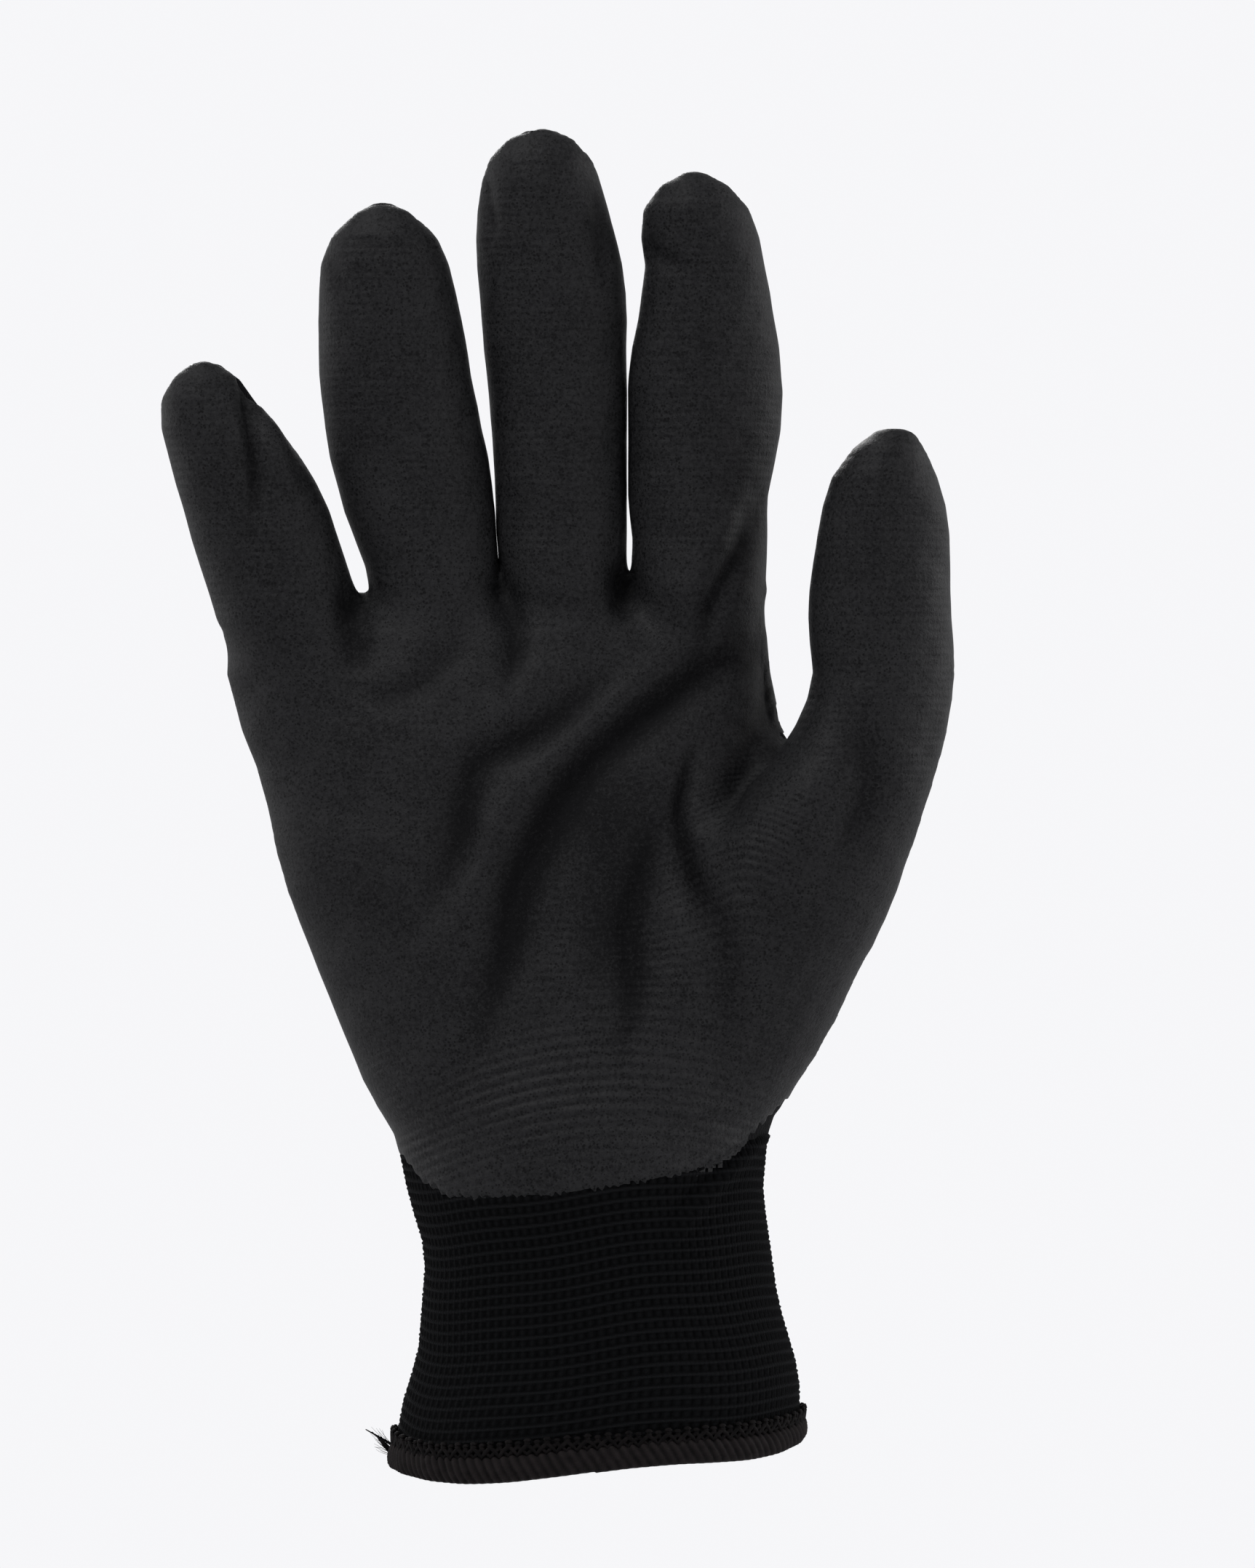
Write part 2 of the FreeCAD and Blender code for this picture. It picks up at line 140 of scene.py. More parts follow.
# The floor, in metres: how far below the rim's height it lies, half its side, and where its lit part ends.
FLOOR_DROP, FLOOR_HALF = 0.09, 3
FLOOR_LIT, FLOOR_PLAIN = 0.2, 0.5
floor_corners = [(x * FLOOR_HALF, y * FLOOR_HALF, -FLOOR_DROP) for x, y in ((-1, -1), (1, -1), (1, 1), (-1, 1))]
floor_mesh = bpy.data.meshes.new("floor")
floor_mesh.from_pydata(floor_corners, [], [(0, 1, 2, 3)])
floor = bpy.data.objects.new("floor", floor_mesh)
bpy.context.collection.objects.link(floor)
paper, paper_out = blank("floor_paper")
paper_diffuse = shader(paper, "ShaderNodeBsdfDiffuse", Color=PAPER)
paper_glow = shader(paper, "ShaderNodeEmission", Color=PAPER, Strength=1.0)
paper_mix = paper.node_tree.nodes.new("ShaderNodeMixShader")
floor_place = paper.node_tree.nodes.new("ShaderNodeTexCoord")
floor_reach = shader(paper, "ShaderNodeVectorMath")
floor_reach.operation = "LENGTH"
wire(paper, floor_place.outputs["Object"], floor_reach.inputs[0])
floor_fade = paper.node_tree.nodes.new("ShaderNodeMapRange")
floor_fade.inputs["From Min"].default_value = FLOOR_LIT
floor_fade.inputs["From Max"].default_value = FLOOR_PLAIN
wire(paper, floor_reach.outputs["Value"], floor_fade.inputs["Value"])
floor_share = paper.node_tree.nodes.new("ShaderNodeMath")
floor_share.operation = "MULTIPLY"
wire(paper, seen(paper), floor_share.inputs[0])
wire(paper, floor_fade.outputs[0], floor_share.inputs[1])
wire(paper, floor_share.outputs[0], paper_mix.inputs[0])
wire(paper, paper_diffuse.outputs[0], paper_mix.inputs[1])
wire(paper, paper_glow.outputs[0], paper_mix.inputs[2])
wire(paper, paper_mix.outputs[0], paper_out.inputs[0])
floor.data.materials.append(paper)

# ---------------------------------------------------------------- knitted hand: its form
# The liner is one seamless knitted skin, palm and five stalls, pulled smooth by the hand it fits.
# Each stall and the palm is a stack of level ovals: height, left edge, right edge, centre depth, half depth.
PALM = (
    (32, -33.1, 31.6, 0.0, 20.9), (42, -33.3, 31.1, 0.0, 20.4), (47, -34.8, 30.7, 0.0, 20.2),
    (52, -36.0, 30.6, 0.0, 20.0), (57, -36.9, 31.0, 0.0, 20.0), (62, -38.2, 31.4, 0.0, 20.0),
    (67, -41.2, 32.7, 0.0, 19.9), (72, -44.0, 35.8, 0.0, 19.8), (77, -46.0, 39.5, 0.0, 19.7),
    (84.5, -49.1, 42.8, 0.0, 19.4), (92, -52.1, 45.3, 0.2, 19.0), (102, -56.1, 46.6, 0.5, 18.3),
    (112, -59.2, 46.0, 0.8, 17.6), (122, -61.6, 43.5, 1.0, 16.8), (130, -63.8, 38.4, 1.0, 15.8),
    (137, -66.6, 33.6, 1.0, 14.6), (147, -69.2, 31.5, 0.9, 12.6), (154, -68.4, 30.2, 0.6, 10.0),
    (158, -63.0, 28.4, 0.4, 7.4), (160.5, -54.0, 26.6, 0.3, 4.8), (162.5, -36.0, 24.0, 0.2, 2.0),
)
STALLS = {
    "index_finger": (
        (124, 13.0, 22.0, -0.2, 2.0), (150, 8.0, 29.4, -0.2, 8.6), (162, 5.8, 30.6, 0.0, 10.2),
        (172, 5.9, 30.9, -0.1, 10.2),
        (177, 5.3, 30.9, -0.4, 10.1), (180, 5.1, 31.0, -0.6, 10.1), (187, 5.1, 32.4, -1.3, 10.1),
        (192, 5.1, 33.3, -1.9, 10.1), (199, 5.1, 33.7, -2.9, 10.0), (202, 5.2, 33.4, -3.3, 9.8),
        (207, 5.8, 33.0, -4.1, 9.5),
        (212, 6.9, 32.1, -5.0, 9.2), (217, 7.6, 31.3, -5.9, 8.9), (222, 8.3, 30.2, -7.0, 8.6),
        (227, 7.5, 29.2, -8.0, 8.3), (232, 7.9, 27.4, -9.2, 7.6), (236, 10.6, 24.0, -10.2, 5.4),
        (238.4, 14.6, 20.0, -10.8, 2.4), (239.0, 17.2, 17.6, -11.0, 0.2),
    ),
    "middle_finger": (
        (124, -11.0, -4.0, 0.6, 2.0), (150, -16.6, 3.0, 0.6, 8.6), (162, -18.3, 4.6, 0.9, 10.2),
        (173, -19.3, 4.9, 0.9, 10.1),
        (180, -19.5, 4.9, 0.4, 10.1), (192, -20.1, 4.9, -0.6, 10.1), (199, -20.7, 4.9, -1.3, 10.1),
        (207, -21.5, 4.8, -2.3, 10.0), (212, -21.9, 4.9, -3.0, 9.8), (217, -22.3, 4.7, -3.8, 9.5),
        (222, -22.8, 4.1, -4.6, 9.2), (227, -22.9, 2.9, -5.5, 8.9), (232, -22.6, 1.5, -6.5, 8.5),
        (237, -21.9, 0.1, -7.6, 7.9), (241, -20.6, -1.2, -8.5, 6.8), (244.5, -17.6, -4.2, -9.4, 4.6),
        (246.6, -13.4, -8.4, -9.9, 2.0), (247.1, -11.2, -10.8, -10.0, 0.2),
    ),
    "ring_finger": (
        (120, -32.0, -26.0, 0.3, 2.0), (145, -39.6, -20.4, 0.3, 8.2), (156, -42.0, -18.8, 0.4, 10.0),
        (162, -42.6, -18.3, 0.4, 10.0),
        (167, -43.6, -18.8, 0.3, 10.0), (173, -45.9, -19.3, 0.0, 10.0), (177, -47.4, -19.5, -0.4, 10.0),
        (182, -48.7, -20.0, -0.8, 10.0), (187, -50.0, -20.7, -1.3, 9.9), (192, -50.8, -21.9, -1.9, 9.9),
        (197, -51.4, -22.8, -2.6, 9.8), (202, -51.9, -23.9, -3.4, 9.5), (207, -52.0, -24.6, -4.2, 9.2),
        (212, -52.0, -25.5, -5.1, 9.0), (217, -51.8, -26.6, -6.0, 8.7), (222, -51.4, -27.8, -7.0, 8.3),
        (227, -49.5, -30.0, -8.0, 7.0), (231, -45.6, -34.0, -8.8, 4.4), (233.1, -42.0, -38.0, -9.2, 1.6),
        (233.6, -40.2, -39.8, -9.3, 0.2),
    ),
    "little_finger": (
        (112, -52.0, -46.0, 0.0, 1.6), (138, -60.4, -41.6, 0.0, 7.4), (150, -67.0, -42.6, -0.4, 9.2),
        (157, -71.0, -43.9, -1.1, 9.5),
        (162, -72.4, -45.2, -1.6, 9.5), (167, -74.0, -46.8, -2.2, 9.4), (172, -75.5, -48.4, -2.8, 9.3),
        (177, -76.8, -50.0, -3.5, 9.1), (182, -78.3, -52.4, -4.3, 8.9), (187, -79.6, -55.4, -5.2, 8.6),
        (192, -80.8, -59.2, -6.2, 8.1), (197, -80.8, -63.0, -7.2, 7.2), (201, -78.6, -65.8, -8.0, 5.6),
        (203.6, -75.4, -69.6, -8.5, 2.8), (204.2, -72.9, -72.3, -8.6, 0.2),
    ),
    "thumb": (
        (66, 18.0, 26.0, -1.0, 3.0), (84, 13.0, 40.2, -4.0, 11.0), (92, 13.4, 45.8, -5.6, 13.2),
        (97, 14.6, 49.8, -6.8, 14.0),
        (102, 16.0, 52.4, -8.0, 14.3), (107, 17.6, 54.4, -9.3, 14.5), (112, 19.4, 56.0, -10.5, 14.6),
        (117, 21.6, 57.9, -11.6, 14.6), (122, 24.8, 59.4, -12.6, 14.5), (127, 28.8, 61.0, -13.3, 14.2),
        (132, 32.4, 62.4, -13.8, 13.7), (137, 35.6, 63.5, -14.1, 13.0), (142, 37.8, 64.3, -14.4, 12.3),
        (147, 38.8, 64.8, -14.7, 11.7), (152, 38.3, 64.5, -15.1, 11.4), (157, 38.0, 64.1, -15.6, 11.2),
        (162, 38.2, 63.9, -16.3, 11.0), (167, 38.8, 63.8, -17.1, 10.7), (172, 39.6, 63.6, -18.1, 10.3),
        (177, 40.5, 62.9, -19.2, 9.8), (182, 42.0, 61.4, -20.4, 9.0), (187, 45.4, 59.2, -21.6, 7.2),
        (190, 49.2, 57.4, -22.3, 4.2), (191.2, 53.0, 53.8, -22.6, 0.3),
    ),
}
COAT = 0.45  # how far the coating stands proud of the knit


def oval_field(stack, x, y, z, shrink, rise=1.0):
    """Distance to a stack of level ovals: how far a point is outside its level's oval, over that gradient.
    With rise 0 it is measured level, so that it doesn't jump where the stack ends."""
    rows = np.array(stack, float)
    levels = rows[:, 0]
    left, right, deep, half_deep = (np.interp(z, levels, rows[:, i]) for i in range(1, 5))
    half = np.maximum((right - left) / 2 - shrink, 0.15)
    half_deep = np.maximum(half_deep - shrink, 0.15)
    u, v = (x - (left + right) / 2) / half, (y - deep) / half_deep
    q = np.sqrt(u * u + v * v) + 1e-9
    beyond = np.maximum(z - levels[-1], 0) + np.maximum(levels[0] - z, 0)
    q = q + beyond / 4
    gz, gy, gx = np.gradient(q, STEP)
    return (q - 1) / np.sqrt(gx**2 + gy**2 + rise * gz**2 + 1e-6)


def smooth_union(a, b, width):
    """The lesser of two distances, with the corner between them rounded over a width."""
    share = np.clip(0.5 + 0.5 * (b - a) / width, 0, 1)
    return b * (1 - share) + a * share - width * share * (1 - share)


STEP = 0.7
LATTICE_LOW = np.array([-91.0, -42.0, 56.0])


def lattice(low, high):
    """Points of the shared lattice between two corners, as broadcast arrays in z, y, x order."""
    first = np.floor((np.array(low) - LATTICE_LOW) / STEP).astype(int)
    last = np.ceil((np.array(high) - LATTICE_LOW) / STEP).astype(int)
    axes = [LATTICE_LOW[i] + STEP * np.arange(first[i], last[i] + 1) for i in range(3)]
    z, y, x = np.meshgrid(axes[2], axes[1], axes[0], indexing="ij")
    return x, y, z


def net(field, x, y, z):
    """Surface through the zero of a field: one point per mixed cell at its edge crossings' mean, one face per
    crossed lattice edge, wound so that it faces the positive side."""
    inside = field < 0
    corner = [(i, j, k) for i in (0, 1) for j in (0, 1) for k in (0, 1)]
    nz, ny, nx = field.shape

    def at(array, i, j, k):
        """An array's values at one corner of every cell."""
        return array[i:nz - 1 + i, j:ny - 1 + j, k:nx - 1 + k]

    count = sum(at(inside, *c).astype(np.int8) for c in corner)
    mixed = (count > 0) & (count < 8)
    number = np.full(mixed.shape, -1, np.int64)
    number[mixed] = np.arange(mixed.sum())
    total, hits = np.zeros((mixed.sum(), 3)), np.zeros(mixed.sum())
    values = {c: at(field, *c)[mixed] for c in corner}
    for a in corner:
        for axis in range(3):
            if a[axis]:
                continue
            b = tuple(v + (n == axis) for n, v in enumerate(a))
            fa, fb = values[a], values[b]
            crossing = (fa < 0) != (fb < 0)
            share = np.where(crossing, fa / np.where(crossing, fa - fb, 1), 0)
            place = np.tile(np.array(a, float), (len(fa), 1))
            place[:, axis] += share
            total += place * crossing[:, None]
            hits += crossing
    cells = np.argwhere(mixed)
    local = total / hits[:, None] + cells
    points = np.stack([x[0, 0, 0] + local[:, 2] * STEP, y[0, 0, 0] + local[:, 1] * STEP,
                       z[0, 0, 0] + local[:, 0] * STEP], 1)
    quads = []
    for axis in range(3):
        one, two = [n for n in range(3) if n != axis]
        first = [slice(1, -1)] * 3
        first[axis] = slice(0, -1)
        second = [slice(1, -1)] * 3
        second[axis] = slice(1, None)
        f0, f1 = inside[tuple(first)], inside[tuple(second)]
        for enters in (True, False):
            found = np.argwhere((f0 & ~f1) if enters else (~f0 & f1))
            base = found.copy()
            base[:, one] += 1
            base[:, two] += 1
            ring = []
            for d1, d2 in ((-1, -1), (0, -1), (0, 0), (-1, 0)):
                cell = base.copy()
                cell[:, one] += d1
                cell[:, two] += d2
                ring.append(number[cell[:, 0], cell[:, 1], cell[:, 2]])
            quad = np.stack(ring, 1)
            flip = enters != (axis == 1)
            quads.append(quad[:, ::-1] if flip else quad)
    quads = np.concatenate(quads)
    return points, quads[(quads >= 0).all(1)]


def relaxed(points, quads, rounds=4):
    """Evens a net out: each point moves halfway to its neighbours' mean, then back a little more."""
    ends = np.concatenate([quads[:, [0, 1]], quads[:, [1, 2]], quads[:, [2, 3]], quads[:, [3, 0]]])
    ends = np.concatenate([ends, ends[:, ::-1]])
    degree = np.maximum(np.bincount(ends[:, 0], minlength=len(points)), 1)[:, None]
    for turn in range(rounds * 2):
        mean = np.stack([np.bincount(ends[:, 0], points[ends[:, 1], i], len(points)) for i in range(3)], 1)
        pull = 0.5 if turn % 2 == 0 else -0.52
        points = points + pull * (mean / degree - points)
    return points


def normals_of(points, quads):
    """Unit normals at points: the sum of the normals of the faces round each."""
    across = np.cross(points[quads[:, 2]] - points[quads[:, 0]], points[quads[:, 3]] - points[quads[:, 1]])
    total = np.stack(
        [sum(np.bincount(quads[:, c], across[:, i], len(points)) for c in range(4)) for i in range(3)], 1
    )
    return total / (np.linalg.norm(total, axis=1)[:, None] + 1e-12)


# ---------------------------------------------------------------- knitted hand: joints and runs
# The frame's hinges sit in the stalls. Each run of cloth between the middles of two lengths crosses one
# hinge, and its ends meet the next run's without a gap.
JOINTS = {joint["name"]: joint for joint in frame["joints"]}
BEND_HALF = 5.0


def hinge(name):
    """A hinge's place in the middle of the stall and its axis, in millimetres."""
    joint = JOINTS[name]
    return np.array(joint["pos_m"]) / MM, np.array(joint["axis"])


def chain(stall, names):
    """A stall's hinges with, for each, the way the stall runs through it."""
    found = [hinge(f"{stall}_{name}_bend") for name in names]
    rows = np.array(STALLS[stall], float)
    tip = np.array([(rows[-1, 1] + rows[-1, 2]) / 2, rows[-1, 3], rows[-1, 0]])
    places = [f[0] for f in found] + [tip]
    made = []
    for i, (place, axis) in enumerate(found):
        ahead = places[i + 1] - place
        ahead = ahead - axis * (ahead @ axis)
        if i:
            behind = place - places[i - 1]
            ahead = ahead / np.linalg.norm(ahead) + behind / np.linalg.norm(behind)
            ahead = ahead - axis * (ahead @ axis)
        made.append((place, axis, ahead / np.linalg.norm(ahead)))
    return made


FINGER_JOINTS = ("root", "knuckle", "tip")
CHAINS = {stall: chain(stall, ("root", "tip") if stall == "thumb" else FINGER_JOINTS) for stall in STALLS}
PARTS = {stall: ("base", "tip") if stall == "thumb" else ("base", "mid", "tip") for stall in STALLS}


def past(points, place, way):
    """How far points are past a plane through a place, square to a way."""
    return (points - place) @ way


def stall_box(stall, margin=4.0):
    """Corners of the room that a stall needs from a little below its root hinge."""
    rows = np.array(STALLS[stall], float)
    root = CHAINS[stall][0][0][2]
    keep = rows[:, 0] > root - 30
    low = [rows[keep, 1].min() - margin, (rows[keep, 3] - rows[keep, 4]).min() - margin, root - 26]
    high = [rows[keep, 2].max() + margin, (rows[keep, 3] + rows[keep, 4]).max() + margin, rows[-1, 0] + margin]
    return low, high


WEB_ROUND = 3.4
BALL_ROUND = 9.0
CROTCH_ROUND = 3.0


def stall_in_palm(stall, x, y, z):
    """A stall joined to the palm with a rounded web."""
    width = WEB_ROUND
    if stall == "thumb":
        width = np.interp(z, (116, 130), (BALL_ROUND, CROTCH_ROUND))
    palm = oval_field(PALM, x, y, z, COAT, 0.0)
    return smooth_union(oval_field(STALLS[stall], x, y, z, COAT, 1.0), palm, width)


surfaces = {}
for stall in STALLS:
    grid = lattice(*stall_box(stall))
    points, quads = net(stall_in_palm(stall, *grid), *grid)
    surfaces[stall] = (relaxed(points, quads), quads)
grid = lattice((-88, -34, 46), (72, 26, 190))
field = None
for stall in STALLS:
    part = stall_in_palm(stall, *grid)
    field = part if field is None else np.minimum(field, part)
points, quads = net(field, *grid)
surfaces["palm"] = (relaxed(points, quads), quads)


def across_of(stack, z):
    """Centre, half width, centre depth and half depth of a stack's oval at heights."""
    rows = np.array(stack, float)
    left, right, deep, half_deep = (np.interp(z, rows[:, 0], rows[:, i]) for i in range(1, 5))
    return (left + right) / 2, (right - left) / 2, deep, half_deep


# ---------------------------------------------------------------- creases of the worn hand
# The cloth has taken the hand's creases: long hollows across the palm, gathers below each web and tucks at the
# fingertips. Each is a line over the palm side (across, height), with how far it sinks or stands and its reach.
CREASES = (
    (((33, 156), (29.5, 152.7), (17.1, 145.2), (7.2, 138.4), (-2.7, 130.4), (-7.7, 122.9), (-11.4, 115.5),
      (-15.7, 106.8), (-17, 96.9), (-20.1, 87), (-25, 72)), -3.1, 3.8),
    (((5, 149), (1, 145.2), (-7.7, 137.8), (-16.4, 133.5), (-22.5, 131), (-24.8, 122.9), (-25.6, 115.5),
      (-28.7, 108.1), (-34, 100)), -2.3, 3.2),
    (((22, 154), (12.2, 148.3), (-1.5, 136.5), (-10.2, 129.1), (-17.6, 120.4), (-22.5, 109.3), (-28.5, 96)), 0.9, 3.4),
    (((17.4, 134), (16.1, 127.9), (14.6, 122.3), (15.2, 116.8), (16.6, 110.5), (19, 102)), -2.0, 1.6),
    (((15, 114), (20.2, 103.1), (23.3, 96.9), (23.3, 87), (22, 78)), -1.3, 3.0),
    (((12, 122), (9.7, 115.5), (6.6, 106.8), (5.3, 98.1), (6.6, 88.2), (3, 74)), -1.9, 2.8),
    (((13.4, 110), (14.4, 103), (15.2, 91.9), (14, 80)), 1.0, 2.6),
    (((-3, 120), (-4, 111.7), (-5.2, 96.9), (-4, 84)), 0.9, 4.0),
    (((-44.6, 166), (-45.4, 158.9), (-44.9, 150.2), (-45, 146)), -2.2, 3.0),
    (((-43, 139.5), (-41.1, 141.5), (-33.7, 144), (-28.1, 148.9), (-26, 153)), -1.0, 2.6),
    (((-39, 150), (-34, 151), (-31, 156)), 0.4, 3.0),
    (((-18.4, 166), (-17.6, 161.3), (-15.5, 155.1), (-15.8, 148.5), (-17.5, 144)), -2.0, 2.4),
    (((4.6, 168), (4.3, 160.1), (5.0, 156)), -1.8, 2.6),
    (((31.2, 183), (24, 167), (20.6, 160), (17.4, 148)), -1.7, 2.6),
    (((26, 178), (18.5, 166), (14.5, 156)), 0.7, 2.8),
    (((29, 139), (27.5, 134.7), (26.5, 127.9), (22, 119)), -1.2, 2.6),
    (((45.6, 142.7), (48.1, 132.8), (48.7, 124.2), (41.9, 112)), -1.5, 3.6),
    (((37, 132), (38, 122), (33, 110)), 1.3, 4.6),
    (((49, 182), (50.5, 166), (48, 150)), 0.5, 2.4),
    (((-65.4, 206), (-64.2, 194), (-63.0, 184), (-64, 172)), -2.0, 1.7),
    (((33.5, 154), (32.5, 143), (31, 133)), -1.6, 3.4),
    (((-61.6, 197), (-59.6, 187), (-55.6, 177)), 1.2, 2.2),
    (((7.0, 227), (11.5, 222.5), (16.0, 221)), -0.9, 1.8),
    (((-22, 230), (-18.6, 224), (-18.6, 212)), 0.6, 1.8),
    (((-22.4, 240), (-19.8, 232), (-19.2, 224)), -0.9, 1.5),
    (((-2.0, 238), (0.2, 229), (1.0, 218)), -0.9, 1.7),
    (((-50, 224), (-46, 215)), -0.5, 2.0),
    (((-52, 100), (-50, 122)), 1.2, 13.0),
    (((6, 132), (-2, 112), (3, 84)), -1.8, 11.0),
)


def rounded(line, rounds=2):
    """A line with its corners cut: each stretch gives points at a quarter and at three quarters of it."""
    for _ in range(rounds):
        inner = [(a[0] + (b[0] - a[0]) * share, a[1] + (b[1] - a[1]) * share)
                 for a, b in zip(line, line[1:]) for share in (0.25, 0.75)]
        line = [line[0], *inner, line[-1]]
    return line


def crease_at(x, z, line, height, reach):
    """Height of one crease at points in the plane across the hand: height * bell(distance / reach), fading out
    over the first and last third of the line."""
    line = rounded(line)
    runs = [math.hypot(b[0] - a[0], b[1] - a[1]) for a, b in zip(line, line[1:])]
    nearest, along, gone = np.full(x.shape, 1e9), np.zeros(x.shape), 0.0
    for (x0, z0), (x1, z1), run in zip(line, line[1:], runs):
        share = np.clip(((x - x0) * (x1 - x0) + (z - z0) * (z1 - z0)) / run**2, 0, 1)
        away = np.hypot(x - x0 - share * (x1 - x0), z - z0 - share * (z1 - z0))
        along = np.where(away < nearest, (gone + share * run) / sum(runs), along)
        nearest = np.minimum(nearest, away)
        gone += run
    return height * bell(nearest, reach) * step_up(along, -0.1, 0.34) * step_up(1 - along, -0.1, 0.34)


def bell(value, width):
    """A smooth bump of height one."""
    return np.exp(-((value / width) ** 2))


def step_up(value, low, high):
    """Rises smoothly from 0 at low to 1 at high."""
    share = np.clip((value - low) / (high - low), 0, 1)
    return share * share * (3 - 2 * share)


def creased(points, normals):
    """Points moved along their normals by the creases, as far as they face the palm side, and by a slow
    unevenness that the cloth has everywhere; with how far the creases alone moved each."""
    x, y, z = points.T
    facing = step_up(-normals[:, 1], 0.05, 0.6)
    depth = sum(crease_at(x, z, *crease) for crease in CREASES)
    uneven = (
        0.16 * np.sin(x * 0.31 + 1.7 * np.sin(z * 0.11)) * np.sin(z * 0.23 + 0.9 * np.sin(x * 0.17 + y * 0.2))
        + 0.07 * np.sin(x * 0.83 + z * 0.37 + y * 0.5) * np.sin(z * 0.71 - x * 0.29)
    )
    return points + normals * (depth * facing + uneven * (0.25 + 0.75 * facing))[:, None], depth * facing


# ---------------------------------------------------------------- knitted liner
# One seamless skin in fine plain knit, of dark cut-resistant yarn. It shows on the back of the hand and along
# the sides, up to the edge of the coating, and is 1.3 mm thick.
WALL = 1.3
DIP_LINE = ((-60, 92), (-46, 74), (-40.5, 64.5), (-37, 59), (-33, 54), (-28, 51.2), (-18, 51.4), (-9.4, 51.9),
            (5, 54), (15, 55.6), (21, 57.8), (26, 60.6), (31, 65.6), (38, 72), (50, 84))


def coated(stall, points):
    """How far inside the coated area a point is, in millimetres along the surface, and below 0 outside it."""
    x, y, z = points.T
    thumb_x, _, thumb_y, _ = across_of(STALLS["thumb"], z)
    over = step_up(x, 31, 46) * step_up(z, 58, 92)
    wave = 0.35 * np.sin(z * 0.62 + x * 0.2) + 0.22 * np.sin(z * 1.9 + 1)
    outer_side = step_up(x - thumb_x, 0, 8)
    bare = step_up(z, 106, 118) * (1 - step_up(z, 146, 154)) * outer_side
    low_bare = step_up(x, 28, 36) * step_up(z, 62, 68) * (1 - step_up(z, 78, 86))
    palm_edge = 1.8 * (1 - over) + (thumb_y + 0.8) * over - 2.3 * bare - 3.2 * low_bare
    if stall == "palm":
        edge = palm_edge
    else:
        centre, half, deep, half_deep = across_of(STALLS[stall], z)
        top = STALLS[stall][-1][0]
        root = CHAINS[stall][0][0][2]
        wrap = 0.9 - 2.4 * step_up(z, top - 13, top - 1)
        side = deep + wrap - (2.3 * bare if stall == "thumb" else 0)
        if stall == "little_finger":
            side = side - 1.2 * step_up(x - centre, 2.5, 7) * step_up(z, 184, 190) * (1 - step_up(z, 198, 203))
        share = step_up(z, root - 4, root + 10)
        edge = palm_edge * (1 - share) + side * share
    palm_line, heights = np.array(DIP_LINE).T
    ragged = 0.35 * np.sin(x * 4.05) + 0.3 * np.sin(x * 2.3 + 1) * np.sin(x * 0.9)
    return np.minimum(edge - y + wave * 0.6, (z - np.interp(x, palm_line, heights)) * 0.9 + ragged)


def cloth_place(stall, points):
    """Where a point lies on the flat cloth, in stitches: across the columns, and along the courses.
    The courses arch over the heel of the hand and over the ball of the thumb, as they do when worn."""
    x, y, z = points.T
    centre, half, deep, half_deep = across_of(PALM if stall == "palm" else STALLS[stall], z)
    u = x + np.sign(x - centre) * np.minimum(np.abs(x - centre) / 3, 1) * (half_deep - np.abs(y - deep))
    if stall != "palm":
        return np.stack([u / 1.35, z / 1.5], 1)
    arch = z + 0.0068 * (x - 4) ** 2 * step_up(-z, -96, -78) - 9 * bell(x - 27, 14) * bell(z - 116, 19)
    return np.stack([u / 1.35, np.where(arch < 88, arch / 2.1, 88 / 2.1 + (arch - 88) / 1.5)], 1)


def show_through(stall, points):
    """How strongly the stitches show through the coating: most at the heel and on the ball of the thumb."""
    x, y, z = points.T
    if stall != "palm":
        return np.full(len(points), 0.16)
    heel = 1.0 * bell(z + 0.0068 * (x - 4) ** 2 - 71, 11) * (0.16 + 0.84 * bell(x + 8, 23))
    ball = 0.7 * bell(np.hypot(x - 27, (z - 107) * 0.55), 9)
    middle = 0.3 * bell(np.hypot(x - 8, (z - 88) * 0.7), 17)
    return 0.06 + heel + ball + middle


def trimmed(quads, *arrays):
    """The faces renumbered for the points that they use, with each array cut down to those points."""
    used = np.unique(quads)
    number = np.full(len(arrays[0]), -1)
    number[used] = np.arange(len(used))
    return (number[quads], *(array[used] for array in arrays))


def rim_edges(quads):
    """The edges that only one face uses, in that face's direction."""
    ends = np.concatenate([quads[:, [0, 1]], quads[:, [1, 2]], quads[:, [2, 3]], quads[:, [3, 0]]])
    low, high = ends.min(1), ends.max(1)
    key = low * (ends.max() + 1) + high
    _, where, count = np.unique(key, return_index=True, return_counts=True)
    return ends[where[count == 1]]


